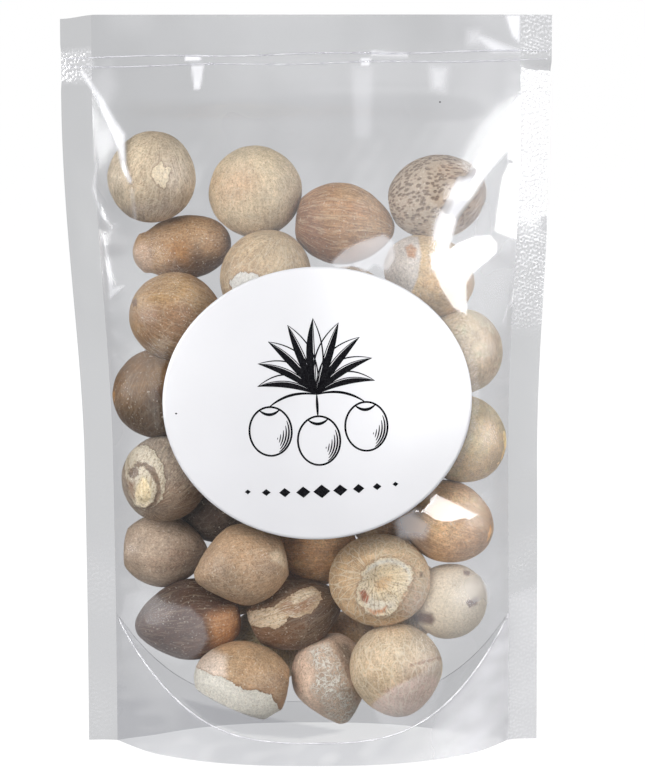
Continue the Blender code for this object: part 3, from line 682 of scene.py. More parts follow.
def label_bend(x, z):
    """How far the label lies behind its middle."""
    dx, dz = x - LABEL_CENTRE[0], z - LABEL_CENTRE[1]
    return LABEL_BEND_ACROSS * dx**2 + LABEL_BEND_UP * dz**2 + LABEL_LEAN * dz


def label_share(x, z):
    """0 at the label's middle and 1 at its rim."""
    dx, dz = x - LABEL_CENTRE[0], z - LABEL_CENTRE[1]
    across = dx * math.cos(LABEL_TURN) + dz * math.sin(LABEL_TURN)
    up = dz * math.cos(LABEL_TURN) - dx * math.sin(LABEL_TURN)
    return np.hypot(across / LABEL_HALF_WIDTH, up / LABEL_HALF_HEIGHT)


def label_depth(nuts):
    """The depth of the film under the label's middle, where the label clears every nut behind it."""
    span = np.linspace(-FLAT_UNDER_LABEL, FLAT_UNDER_LABEL, LABEL_SAMPLES)
    x = LABEL_CENTRE[0] + span * LABEL_HALF_WIDTH
    x, z = np.meshgrid(x, LABEL_CENTRE[1] + span * LABEL_HALF_HEIGHT)
    needed = reach_of_nuts(nuts, x, z, -1) + FILM_CLEARANCE + label_bend(x, z)
    return float(needed[label_share(x, z) < CLEAR_UNDER_LABEL].max())


def neighbour_mean(field):
    """The mean of each inner point's four neighbours."""
    return (field[2:, 1:-1] + field[:-2, 1:-1] + field[1:-1, 2:] + field[1:-1, :-2]) / 4


def read_grid(shares, levels, depth, share, z):
    """The film's depth at any share and z, read between the grid's points."""
    along = np.clip(np.interp(share, shares, np.arange(len(shares))), 0, len(shares) - 1.001)
    up = np.clip(np.interp(z, levels, np.arange(len(levels))), 0, len(levels) - 1.001)
    c, r = along.astype(int), up.astype(int)
    fc, fr = along - c, up - r
    low = depth[r, c] * (1 - fc) + depth[r, c + 1] * fc
    high = depth[r + 1, c] * (1 - fc) + depth[r + 1, c + 1] * fc
    return low * (1 - fr) + high * fr


def stretched_film(nuts, side, under_label):
    """(shares, levels, depth, floor): a grid of the film's depth from the middle sheet, side to side and
    from the bottom to the zip, and the least depth that clears the nuts.  The film is the least one over
    the nuts, found on a coarse grid and then smoothed on a fine one."""
    top = ZIP_HEIGHT - PRESSED_BELOW_ZIP
    inner = (slice(1, -1), slice(1, -1))
    field = None
    for cell in (FILM_CELL, FINE_CELL):
        shares = np.linspace(-INNER_SHARE, INNER_SHARE, round(2 * INNER_SHARE * TOP_HALF_WIDTH / cell) + 1)
        levels = np.linspace(0.0, top, round(top / cell) + 1)
        share, z = np.meshgrid(shares, levels)
        x = x_at(share, z)
        floor = reach_of_nuts(nuts, x, z, side) + FILM_CLEARANCE + ROOM_FOR_LUMPS - side * middle_y(x, z)
        depth = read_grid(*field[:3], share, z) if field else np.maximum(floor, FIRST_DEPTH)
        depth[:, [0, -1]] = depth[-1] = SEAL_HALF_THICKNESS
        depth[0] = np.maximum(base_depth(shares), SEAL_HALF_THICKNESS)
        fixed = np.zeros(share.shape, bool)
        if side < 0:
            fixed = label_share(x, z) < FLAT_UNDER_LABEL
            depth = np.where(fixed, under_label - label_bend(x, z) + middle_y(x, z), depth)
        if field is None:
            for _ in range(STRETCH_ROUNDS):
                free = np.maximum(neighbour_mean(depth) + FILM_BULGE, floor[inner])
                depth[inner] = np.where(fixed[inner], depth[inner], free)
        for _ in range(FINE_ROUNDS):
            free = np.maximum(0.5 * depth[inner] + 0.5 * neighbour_mean(depth), floor[inner] - FINE_SINK)
            depth[inner] = np.where(fixed[inner], depth[inner], free)
        field = shares, levels, depth, floor
    return field


# ---------------------------------------------------------------- making objects


def mesh_object(name, points, faces, material, body_slot, **attributes):
    """A smooth mesh from points in mm, with named values, vectors or colours on its points."""
    data = bpy.data.meshes.new(name)
    corners = faces if isinstance(faces, list) else faces.tolist()
    data.from_pydata((np.asarray(points, float) * MM).tolist(), [], corners)
    kinds = {1: ("FLOAT", "value"), 3: ("FLOAT_VECTOR", "vector"), 4: ("FLOAT_COLOR", "color")}
    for key, values in attributes.items():
        values = np.asarray(values, float)
        kind, field = kinds[values.size // len(points)]
        data.attributes.new(key, kind, "POINT").data.foreach_set(field, values.ravel())
    data.materials.append(material)
    data.shade_smooth()
    made = bpy.data.objects.new(name, data)
    bpy.context.scene.collection.objects.link(made)
    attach(made, "root")
    return made


def grid_faces(rows, columns, start=0, closed=False):
    """Four-sided faces between the points of a grid, closed round its columns if asked."""
    corner = start + np.arange(rows * columns).reshape(rows, columns)
    if closed:
        corner = np.concatenate([corner, corner[:, :1]], axis=1)
    quads = np.stack([corner[:-1, :-1], corner[:-1, 1:], corner[1:, 1:], corner[1:, :-1]], axis=-1)
    return quads.reshape(-1, 4)


class Shader:
    """A material and its nodes.  Every method that adds a node returns the node's output socket."""

    def __init__(self, name):
        self.material = bpy.data.materials.new(name)
        self.material.use_nodes = True
        self.tree = self.material.node_tree
        self.tree.nodes.clear()
        self.output = self.tree.nodes.new("ShaderNodeOutputMaterial")

    def add(self, kind, out=0, props=None, **inputs):
        """Adds a node.  Inputs are sockets to link or values to set, by name or as _index."""
        made = self.tree.nodes.new("ShaderNode" + kind)
        for key, value in (props or {}).items():
            setattr(made, key, value)
        for key, value in inputs.items():
            socket = made.inputs[int(key[1:]) if key[0] == "_" else key.replace("_", " ")]
            if isinstance(value, bpy.types.NodeSocket):
                self.tree.links.new(value, socket)
            else:
                socket.default_value = value
        return made.outputs[out]

    def colour(self, name):
        """A named colour of the mesh's points."""
        return self.add("Attribute", out=0, props={"attribute_name": name})

    def vector(self, name):
        """A named vector of the mesh's points."""
        return self.add("Attribute", out=1, props={"attribute_name": name})

    def value(self, name):
        """A named value of the mesh's points."""
        return self.add("Attribute", out=2, props={"attribute_name": name})

    def fourth(self, name):
        """The fourth value of a named colour of the mesh's points."""
        return self.add("Attribute", out=3, props={"attribute_name": name})

    def place(self):
        """Where a point lies on its own object, in metres."""
        return self.add("TexCoord", out=3)

    def math(self, operation, first, second=0.0, clamp=False):
        return self.add("Math", props={"operation": operation, "use_clamp": clamp}, _0=first, _1=second)

    def times(self, *factors):
        total = factors[0]
        for factor in factors[1:]:
            total = self.math("MULTIPLY", total, factor)
        return total

    def plus(self, *terms):
        total = terms[0]
        for term in terms[1:]:
            total = self.math("ADD", total, term)
        return total

    def vector_math(self, operation, first, second, third=(0.0, 0.0, 0.0)):
        return self.add("VectorMath", props={"operation": operation}, _0=first, _1=second, _2=third)

    def ramp(self, value, low, high, from_value=0.0, to_value=1.0):
        """value, stretched smoothly from low..high to from_value..to_value."""
        props = {"interpolation_type": "SMOOTHSTEP"}
        return self.add("MapRange", props=props, _0=value, _1=low, _2=high, _3=from_value, _4=to_value)

    def mix(self, share, first, second, blend="MIX"):
        """A mix of two colours."""
        props = {"data_type": "RGBA", "blend_type": blend, "clamp_factor": True}
        return self.add("Mix", out=2, props=props, _0=share, _6=first, _7=second)

    def layer(self, below, colour, *shares):
        """A colour with another one laid over it where all the shares are high."""
        return self.mix(self.times(*shares), below, shown(*colour))

    def shaded(self, share, below, shade):
        """A colour multiplied by another one, as far as the share goes."""
        return self.mix(share, below, shade, "MULTIPLY")

    def noise(self, vector, scale, detail=3.0, rough=0.5, out=0):
        return self.add("TexNoise", out=out, Vector=vector, Scale=scale, Detail=detail, Roughness=rough)

    def bump(self, height, strength, distance):
        return self.add("Bump", Height=height, Strength=strength, Distance=distance)

    def solid(self, colour, rough, gloss, normal=None):
        """The finished material of a solid surface."""
        inputs = {"Base_Color": colour, "Roughness": rough, "Specular_IOR_Level": gloss}
        if normal is not None:
            inputs["Normal"] = normal
        return self.finish(self.add("BsdfPrincipled", **inputs))

    def finish(self, shader):
        self.tree.links.new(shader, self.output.inputs["Surface"])
        return self.material


def screen_colour(red, green, blue, gain=1.0):
    """A colour from 0 to 255 on a screen, as light, held to what a surface can give back."""
    share = np.array([red, green, blue]) / 255.0
    light = np.where(share <= 0.04045, share / 12.92, ((share + 0.055) / 1.055) ** 2.4) * gain
    return light * min(1.0, BRIGHTEST / light.max())


def shown(red, green, blue):
    """A colour from 0 to 255 on a screen, for a node."""
    return (*screen_colour(red, green, blue), 1.0)


# ---------------------------------------------------------------- the film

# What passes through each film, the milk in it, and its gloss: at most, where it is slack, and how rough
FRONT_TINT = (0.790, 0.793, 0.800, 1.0)
# Low down, the welded tint is also painted shade under the pouch seen through the film
WELDED_AND_SHADE_TINT = (0.600, 0.605, 0.625, 1.0)
BACK_TINT = (0.655, 0.658, 0.668, 1.0)
GUSSET_TINT = (0.955, 0.957, 0.962, 1.0)
SEAL_TINT = (0.560, 0.564, 0.574, 1.0)
BEAD_TINT = (0.9, 0.9, 0.92, 1.0)
MILK_AND_HIGHLIGHT_COLOUR = (0.76, 0.76, 0.79, 1.0)
BEAD_MILK_AND_HIGHLIGHT_COLOUR = (0.9, 0.9, 0.94, 1.0)
PLASTIC_IOR = 1.46
GLOSS_GAIN, MOST_GLOSS, BEAD_GLOSS, BEAD_ROUGHNESS = 1.25, 0.25, 0.35, 0.08
SLACK_GLOSS, SLACK_ROUGHNESS, TAUT_ROUGHNESS = 0.14, 0.30, 0.07

# How milky the film is: where the gusset doubles it, there more to its middle and on its right; where it is
# single, there more near the top, on the right, in the band and in upright streaks; and the gusset.  The
# milk on the right is partly painted light on that side, the milk in the band is a painted highlight, and
# the upright streaks are painted sheen.  The back film shines alike all over.
DOUBLED_HAZE, DOUBLED_MIDDLE, DOUBLED_RIGHT_AND_LIGHT = 0.02, 0.07, 0.62
SINGLE_HAZE, TOP_HAZE, RIGHT_HAZE_AND_LIGHT, BAND_HIGHLIGHT, STREAKS_SHEEN = 0.012, 0.06, 0.19, 0.60, 0.012
GUSSET_HAZE, BACK_SHINE = 0.06, 0.3

# The side seals: how high their pattern is pressed, their slow wave, how sharply they bend to the back, and
# how milky they are all over, low down, where they are pressed and on the pattern, where the milk is partly
# whitened film and partly painted glints
PRESS, SEAL_WAVE, SEAL_WAVE_PITCH, TURN_CURVE = 0.10, 0.05, 12.0, 1.3
SEAL_HAZE, LOW_SEAL_HAZE, PRESSED_HAZE, DIMPLE_MILK_AND_GLINTS, MOST_HAZE = 0.02, 0.22, 0.08, 0.30, 0.9

# Ridges in the front film, as x, z from end to end, with how high and how wide they are
FRONT_FOLDS = (
    (((-67.0, 208.5), (-60.0, 196.5), (-56.0, 188.0), (-53.0, 171.0)), 1.8, 2.0),
    (((-65.0, 176.0), (-61.5, 162.0)), 0.5, 1.2),
    (((-62.0, 160.0), (-60.0, 142.0)), 0.5, 2.0),
)

# Where the front film is pulled taut and shines: how soft the edge is, how much it shines, and its outline
# as x, z
TAUT = (
    (5.0, 0.45, (
        (66.5, 205.0), (59.2, 201.5), (53.2, 195.4), (47.5, 186.2), (42.4, 177.3), (38.6, 168.2),
        (37.2, 159.3), (37.6, 150.0), (43.0, 151.0), (45.6, 166.0), (52.0, 175.5), (58.5, 184.0),
        (66.5, 194.0),
    )),
    (1.8, 1.0, (
        (66.5, 204.0), (61.5, 198.0), (58.0, 192.5), (53.5, 186.0), (48.0, 177.0), (43.8, 168.5),
        (40.4, 159.5), (38.6, 152.0), (41.8, 151.0), (43.2, 158.0), (45.8, 166.5), (51.8, 175.7),
        (56.5, 181.6), (61.0, 186.5), (66.5, 192.0),
    )),
    (1.0, 1.0, (
        (66.5, 195.0), (62.0, 190.0), (61.8, 182.0), (60.0, 178.1), (58.7, 169.2), (57.9, 162.1),
        (61.5, 160.5), (64.7, 159.4), (65.7, 154.0), (66.5, 170.0),
    )),
    (1.2, 1.0, (
        (37.4, 156.3), (42.3, 156.2), (46.1, 158.8), (51.3, 160.7), (56.4, 160.9), (58.4, 158.3),
        (58.3, 155.3), (55.1, 152.7), (51.4, 150.2), (48.9, 146.7), (49.0, 137.2), (45.0, 139.5),
        (41.1, 145.7), (38.4, 151.7),
    )),
    (1.5, 0.5, (
        (66.5, 154.0), (65.3, 147.2), (63.3, 142.0), (60.3, 133.6), (62.5, 137.5), (66.5, 142.0),
    )),
    (0.8, 1.0, ((39.5, 83.3), (52.7, 75.6), (48.7, 74.3), (43.8, 72.9), (38.9, 73.9), (33.1, 78.4))),
    (0.9, 1.0, (
        (-69.1, 210.6), (-68.5, 211.0), (-63.6, 203.9), (-58.2, 195.5), (-55.5, 191.6), (-54.8, 182.6),
        (-53.0, 177.7), (-53.5, 177.5), (-56.0, 182.3), (-58.3, 190.6), (-60.3, 194.3), (-64.4, 203.3),
    )),
    (3.0, 0.3, (
        (-68.7, 207.8), (-64.1, 201.8), (-60.1, 193.6), (-59.0, 189.1), (-60.7, 182.9), (-64.0, 180.3),
        (-65.9, 188.6), (-67.6, 199.5),
    )),
    (0.8, 0.8, (
        (-65.5, 175.5), (-64.2, 170.4), (-61.7, 164.4), (-59.4, 161.6), (-61.0, 165.6), (-63.2, 171.0),
    )),
    (2.0, 0.4, (
        (-64.1, 162.6), (-61.0, 162.0), (-59.8, 162.6), (-60.6, 158.2), (-60.0, 151.3), (-57.5, 145.1),
        (-59.8, 142.8), (-61.8, 140.6), (-63.8, 148.7),
    )),
)

# Where the front film is milky without being taut, partly milky film and partly painted highlights, glints
# and sheens: how soft the edge is, how milky it is, and its outline
MILK_AND_GLINTS = (
    (1.5, 0.3, (
        (8.0, 154.3), (11.7, 157.7), (16.7, 160.1), (23.5, 162.0), (26.4, 160.0), (27.0, 155.0),
        (24.6, 151.1), (20.7, 153.1), (17.8, 150.8), (13.8, 153.2), (11.5, 151.3), (8.8, 151.3),
    )),
    (1.5, 0.1, (
        (-48.4, 51.9), (-43.4, 48.0), (-35.7, 47.4), (-31.9, 44.3), (-30.1, 38.3), (-32.8, 33.3),
        (-39.0, 28.8), (-45.3, 30.3), (-53.7, 33.5), (-58.3, 39.8), (-56.3, 48.6),
    )),
    (1.0, 0.16, (
        (21.9, 14.3), (20.2, 18.9), (27.4, 24.8), (33.2, 27.4), (41.0, 31.7), (42.8, 23.3), (38.0, 14.5),
        (30.5, 10.5), (24.0, 12.1),
    )),
    (3.0, 0.25, ((27.0, 77.3), (33.1, 79.0), (38.5, 74.4), (36.2, 69.7), (28.4, 70.4))),
    # The next nine, by the zip and on the lips above it, are painted glints, highlights and a sheen
    (0.4, 0.75, ((-37.1, 215.4), (-32.2, 215.6), (-32.2, 214.3), (-37.1, 214.2))),
    (0.8, 0.7, ((-35.2, 212.8), (-31.3, 212.8), (-32.5, 205.4), (-34.3, 205.4))),
    (0.6, 0.45, ((19.8, 216.9), (31.2, 216.4), (31.2, 215.2), (19.8, 215.4))),
    (0.6, 0.5, ((16.5, 214.6), (19.8, 214.6), (19.2, 212.2), (17.0, 212.2))),
    (3.0, 0.14, ((14.0, 212.1), (20.5, 212.1), (19.5, 191.2), (15.0, 191.2))),
    (4.0, 0.35, ((38.2, 212.0), (43.2, 211.6), (42.4, 204.8), (38.8, 205.4))),
    (2.5, 0.55, ((50.5, 222.0), (54.0, 221.4), (65.8, 216.8), (57.5, 216.6))),
    (4.0, 0.35, ((49.5, 223.0), (53.0, 223.0), (53.0, 219.0), (49.5, 219.0))),
    (1.2, 0.65, ((61.0, 227.8), (65.4, 227.8), (65.2, 219.5), (63.2, 221.5))),
    (5.0, 0.12, ((-66.0, 208.5), (-60.0, 214.0), (-58.0, 206.0), (-62.0, 198.0))),
    (0.9, 0.22, ((-53.3, 175.5), (-52.6, 175.5), (-51.8, 166.0), (-52.6, 166.0))),
    (7.0, 0.1, ((30.0, 50.0), (38.0, 61.0), (54.0, 56.0), (58.0, 44.0), (50.0, 32.0), (36.0, 30.0))),
    (3.0, 0.22, (
        (-64.3, 192.4), (-57.6, 194.0), (-55.7, 191.8), (-57.6, 187.8), (-61.9, 185.6), (-64.0, 181.6),
        (-65.5, 186.3),
    )),
    (1.2, 0.35, (
        (-64.3, 184.4), (-65.9, 174.8), (-63.5, 166.8), (-59.6, 162.6), (-59.2, 163.4), (-62.7, 167.5),
        (-65.1, 175.0), (-63.6, 184.2),
    )),
    (1.2, 0.4, (
        (-63.1, 161.6), (-61.3, 151.7), (-60.6, 140.9), (-55.7, 145.5), (-59.4, 144.6), (-60.3, 151.7),
        (-62.2, 161.0),
    )),
    (2.0, 0.5, (
        (46.5, 179.0), (44.0, 174.7), (41.6, 169.9), (39.1, 165.0), (38.6, 160.0), (42.5, 160.5),
        (44.0, 165.0), (47.8, 169.9), (51.7, 174.7), (54.0, 178.0),
    )),
)

# Where a fold of the gusset shows through the front film, darker: outline as x, z
GUSSET_FOLD = ((-38.6, 18.4), (-20.2, 16.2), (11.9, 10.7), (-1.9, 8.5), (-20.2, 9.4), (-31.0, 12.4))

# A speck of dirt on the front film: where it is, half its size, and how far it stands off
SPECK_ON_FILM, SPECK_ON_FILM_SIZE, SPECK_ON_FILM_LIFT = (41.0, 201.4), (0.26, 0.22), 0.1

# The taut patches that are milky too, by their places in the list above: a band on the right and a streak
# on the left, whose milk is a painted highlight; and how strongly the streak's highlight is painted and how
# soft its edge
BAND, STREAK, STREAK_HIGHLIGHT, STREAK_SOFTNESS = 1, 6, 0.8, 1.6

# The taut patch beside the label that is pulled quite flat: its place in the list, its middle, and how
# fast the film falls back across and up it
FLAT_PATCH, FLAT_PATCH_MIDDLE, FLAT_PATCH_FALL, FLAT_PATCH_SOFTNESS = 5, (43.0, 77.0), (-0.62, -0.16), 2.5


def segment_distance(x, z, start, end):
    """(distance to a straight piece of a line, share of the way along it) of the places x, z."""
    (x0, z0), (x1, z1) = start, end
    length2 = (x1 - x0) ** 2 + (z1 - z0) ** 2
    along = np.clip(((x - x0) * (x1 - x0) + (z - z0) * (z1 - z0)) / length2, 0.0, 1.0)
    return np.hypot(x - x0 - along * (x1 - x0), z - z0 - along * (z1 - z0)), along


def signed_distance(x, z, outline):
    """How far inside a closed outline the places x, z are; less than 0 outside it."""
    within = np.zeros(np.shape(x), bool)
    nearest = np.full(np.shape(x), np.inf)
    for start, end in zip(outline, outline[1:] + outline[:1]):
        (x0, z0), (x1, z1) = start, end
        rise = z1 - z0 or 1e-9
        within ^= ((z0 > z) != (z1 > z)) & (x < x0 + (x1 - x0) * (z - z0) / rise)
        nearest = np.minimum(nearest, segment_distance(x, z, start, end)[0])
    return np.where(within, nearest, -nearest)


def outlined(x, z, outline, softness):
    """1 inside a closed outline of places x, z and 0 outside it, with a soft edge."""
    return smooth(-softness / 2, softness / 2, signed_distance(x, z, outline))


def strongest(x, z, patches):
    """The strongest of several outlined patches at each place."""
    total = np.zeros(np.shape(x))
    for softness, strength, outline in patches:
        total = np.maximum(total, strength * outlined(x, z, outline, softness))
    return total


def line_distance(x, z, line):
    """(distance to a polyline, share of the way along it) of the places x, z."""
    best = np.full(np.shape(x), np.inf)
    share = np.zeros(np.shape(x))
    for number, (start, end) in enumerate(zip(line, line[1:])):
        distance, along = segment_distance(x, z, start, end)
        share = np.where(distance < best, (number + along) / (len(line) - 1), share)
        best = np.minimum(best, distance)
    return best, share


def from_seal(share):
    """How far inside the side seals, in mm, a share of the half width is."""
    return (INNER_SHARE - np.abs(share)) * TOP_HALF_WIDTH


def film_relief(x, z, share, side):
    """The film's folds, puckers and slack, as a height outwards."""
    points = np.stack([x, z], axis=-1)
    inward = from_seal(share)
    # The film is free inside its side seals, below the zip and above the bottom edge
    free = smooth(0.0, 4.0, inward) * (1.0 - smooth(198.0, 206.0, z)) * smooth(4.0, 30.0, z)
    pucker = ripples(points * (0.25, 1.0), PUCKER_PITCH, 3 + side)
    pucker = PUCKER * np.exp(-inward / PUCKER_REACH) * pucker
    slack = SLACK * ripples(points * (1.0, SLACK_UPRIGHT), SLACK_PITCH, 5 + side)
    height = free * (pucker + slack + FINE_SLACK * ripples(points, FINE_SLACK_PITCH, 9 + side))
    if side < 0:
        # It lies smooth under the label
        height = height * smooth(1.06, 1.2, label_share(x, z))
        for line, tall, wide in FRONT_FOLDS:
            distance, along = line_distance(x, z, line)
            ends = smooth(0.0, 0.12, along) * (1.0 - smooth(0.75, 1.0, along))
            height = height + tall * ends / (1.0 + (distance / wide) ** 2) ** 1.5
    return height


def pulled_flat(x, z, depth, field):
    """The front film's depth with its one flat patch, which stands just clear of the nuts."""
    outline, middle, fall = TAUT[FLAT_PATCH][-1], FLAT_PATCH_MIDDLE, FLAT_PATCH_FALL
    slope = fall[0] * (x - middle[0]) + fall[1] * (z - middle[1])
    share = outlined(x, z, outline, FLAT_PATCH_SOFTNESS)
    shares, levels, _, floor = field
    least = read_grid(shares, levels, floor, share_of(x, z), z)
    over = np.where(share > 0, least - slope, 0.0)
    return depth * (1 - share) + (over.max() + slope) * share


def film_grid(columns, rows):
    """(share, z) of a film's points between its side seals, in rows from the bottom up."""
    above = np.linspace(ROWS_FROM, HEIGHT, ROWS_ABOVE)[1:]
    levels = np.concatenate([np.linspace(0.0, ROWS_FROM, rows), above])
    return np.meshgrid(np.linspace(-INNER_SHARE, INNER_SHARE, columns), levels)


def edge_height(share, z):
    """The sealed bottom corners stand just clear of the table, and one top corner droops."""
    lift = smooth(CORNER_LIFT_FROM, CORNER_LIFT_TO, np.abs(share))
    lift = lift * (1.0 - smooth(0.0, CORNER_LIFT_HEIGHT, z))
    drop = smooth(TOP_CORNER_FROM, 1.0, -share) * smooth(ZIP_HEIGHT, HEIGHT, z)
    return z + CORNER_LIFT * lift - TOP_CORNER_DROP * drop


def soft_max(first, second, blend):
    """The larger of two fields, rounded where they cross."""
    return 0.5 * (first + second + np.sqrt((first - second) ** 2 + blend**2))


def film_thickness(share, z, side, field):
    """How far a film stands from the middle sheet."""
    x = x_at(share, z)
    shares, levels, depth, floor = field
    pressed_from = ZIP_HEIGHT - PRESSED_BELOW_ZIP
    pressed = (np.abs(share) > INNER_SHARE - 1e-6) | (z > pressed_from)
    loose = read_grid(shares, levels, depth, share, z) + film_relief(x, z, share, side)
    if side < 0:
        loose = pulled_flat(x, z, loose, field)
    least = read_grid(shares, levels, floor, share, z)
    over_nut = smooth(NUTS_REACH_FROM, NUTS_REACH_TO, least + side * middle_y(x, z))
    touching = over_nut * soft_max(loose, least, TOUCH_ROUNDING) + (1 - over_nut) * loose
    depth = np.where(over_nut > 0, touching, loose)
    inward = from_seal(share)
    closing = smooth(0.0, CLOSES_OVER, inward) * smooth(0.0, EASES_IN_OVER, pressed_from - z)
    depth = FILM_GAP + np.maximum(depth - SEAL_HALF_THICKNESS, 0.0) * closing
    depth = np.where(pressed, FILM_GAP, depth + STEPS_OUT * smooth(0.0, STEPS_OUT_OVER, inward))
    open_lips = smooth(ZIP_HEIGHT + LIPS_START_ABOVE_ZIP, HEIGHT, z)
    lips = open_lips * (1.0 - smooth(LIPS_FLAT_TO, INNER_SHARE, np.abs(share)))
    zip_strip = ZIP_STRIP * hump(z - ZIP_HEIGHT, ZIP_STRIP_REACH) * (np.abs(share) < INNER_SHARE)
    return depth + LIP_OPENING * lips + zip_strip


def under_gusset(share, z):
    """1 below the line where the gusset is sealed on, and 0 above it."""
    line = gusset_line(np.clip(np.abs(share) / INNER_SHARE, 0.0, 1.0))
    return 1.0 - smooth(-0.5, 0.5, z - line)


def milk_and_painted_light(x, z):
    """How milky the front film is by where it is: under the gusset's line it is doubled.  Its right side is
    milkier, partly as painted light, its band is a painted highlight, and its upright streaks are painted
    sheen.
    """
    points = np.stack([x, z], axis=-1)
    clouds = 1.0 + 0.18 * ripples(points, 30.0, 40)
    crumples = 1.0 + 0.22 * ripples(points * (0.6, 1.0), 7.0, 43)
    # Stronger on the right, partly painted light falling on that side
    doubled = DOUBLED_HAZE + DOUBLED_MIDDLE * smooth(-60.0, 0.0, x) + DOUBLED_RIGHT_AND_LIGHT * smooth(34.0, 52.0, x)
    doubled = doubled * under_gusset(share_of(x, z), z) * np.clip(clouds * crumples, 0.4, 1.7)
    near_top = smooth(115.0, 160.0, z) * smooth(-48.0, -5.0, x) * (1.0 - 0.7 * smooth(213.0, 217.0, z))
    # Milkier on the right, partly painted light falling on that side
    on_right = smooth(38.0, 56.0, x) * smooth(20.0, 50.0, z) * (1.0 - 0.5 * smooth(160.0, 190.0, z))
    # The band's milk is a painted highlight
    band = outlined(x, z, TAUT[BAND][-1], 3.0)
    # Upright streaks of painted sheen
    streaks = ripples(points * (1.0, 0.2), 16.0, 41) * smooth(150.0, 190.0, z)
    single = SINGLE_HAZE + TOP_HAZE * near_top + RIGHT_HAZE_AND_LIGHT * on_right + BAND_HIGHLIGHT * band
    return doubled + single + STREAKS_SHEEN * streaks


def milk_and_painted_glints(x, z):
    """How milky the front film is by its outlined patches and its streak: partly milk, and partly painted
    highlights, glints and sheens.
    """
    return strongest(x, z, MILK_AND_GLINTS) + STREAK_HIGHLIGHT * outlined(x, z, TAUT[STREAK][-1], STREAK_SOFTNESS)


def welded_film(x, z):
    """Where the front film is greyer: where it has the gusset welded behind it, most of all at the bottom,
    where the grey also paints the shade under the pouch seen through it; along its left edge; and in a fold
    of the gusset.
    """
    crumples = 1.0 + 0.25 * ripples(np.stack([x * 0.5, z], axis=-1), 6.0, 44)
    # Greyest at the bottom, which is painted shade under the pouch
    low = (0.15 + 0.85 * (1.0 - smooth(6.0, 26.0, z))) * (1.0 - 0.8 * smooth(10.0, 50.0, x))
    left = 0.35 * (1.0 - smooth(-62.0, -48.0, x)) * (1.0 - smooth(165.0, 190.0, z))
    fold = 0.8 * outlined(x, z, GUSSET_FOLD, 1.0)
    return np.clip(low * crumples * under_gusset(share_of(x, z), z) + left + fold, 0.0, 1.0)


def build_film(side, field, material):
    """The front film (side -1) or the back film (side 1) between the side seals."""
    share, z = film_grid(*(FRONT_GRID if side < 0 else BACK_GRID))
    x = x_at(share, z)
    y = middle_y(x, z) + side * film_thickness(share, z, side, field)
    points = np.stack([x, y, edge_height(share, z)], axis=-1).reshape(-1, 3)
    faces = grid_faces(*share.shape)
    if side < 0:
        name, haze = "film_front", milk_and_painted_light(x, z) + milk_and_painted_glints(x, z)
        shine, welded = strongest(x, z, TAUT), welded_film(x, z)
    else:
        name, haze = "film_back", np.zeros(x.shape)
        shine, welded = np.full(x.shape, BACK_SHINE), np.zeros(x.shape)
        faces = faces[:, ::-1]
    made = mesh_object(name, points, faces, material, "film", haze=haze, shine=shine, welded=welded)
    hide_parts("pouch")


def dimples(x, z):
    """The pressed pattern of a seal: short raised worms about a millimetre apart."""
    return smooth(0.0, 0.6, ripples(np.stack([x, z], axis=-1), 1.25, 51, 22))


def build_speck(field, material):
    """A dark speck caught on the front film."""
    turn = np.linspace(0.0, 2 * math.pi, 10)[:-1]
    x = SPECK_ON_FILM[0] + SPECK_ON_FILM_SIZE[0] * np.cos(turn)
    z = SPECK_ON_FILM[1] + SPECK_ON_FILM_SIZE[1] * np.sin(turn)
    y = middle_y(x, z) - film_thickness(share_of(x, z), z, -1, field) - SPECK_ON_FILM_LIFT
    made = mesh_object("speck", np.stack([x, y, z], axis=-1), [list(range(len(turn)))], material, "nut")
    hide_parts("pouch")


def left_seal_looks(x, z):
    """(pressed, turned back, milk, shine): where the left seal is pressed in a pattern, where it bends to
    the back, and how milky and shiny it is; its milk is the front film's patches, partly painted glints and
    highlights."""
    pressed = smooth(206, 209, z) * (1 - smooth(216, 219, z))
    turned = 0.6 * smooth(204, 208, z) * (1 - smooth(216, 220, z))
    return pressed, turned, milk_and_painted_glints(x, z), np.maximum(strongest(x, z, TAUT), 0.9 * pressed)


def right_seal_looks(x, z):
    """The same for the right seal, which is also milkier near the bottom, and a little milky where it bends
    back, partly whitened film and partly a painted highlight.
    """
    pressed = smooth(214, 217, z) + smooth(126, 138, z) * (1 - smooth(160, 168, z))
    turned = smooth(158, 168, z) * (1 - smooth(211, 214, z))
    low = 1.0 - smooth(-2.0, 2.0, z - 47.0 - 30.0 * (np.abs(share_of(x, z)) - INNER_SHARE))
    shine = np.maximum(turned * (0.40 + 0.35 * dimples(x, z)), 0.40 * pressed * dimples(x, z))
    # Where it bends back, its milk is partly a painted highlight
    return pressed, turned, LOW_SEAL_HAZE * low + 0.15 * turned, shine


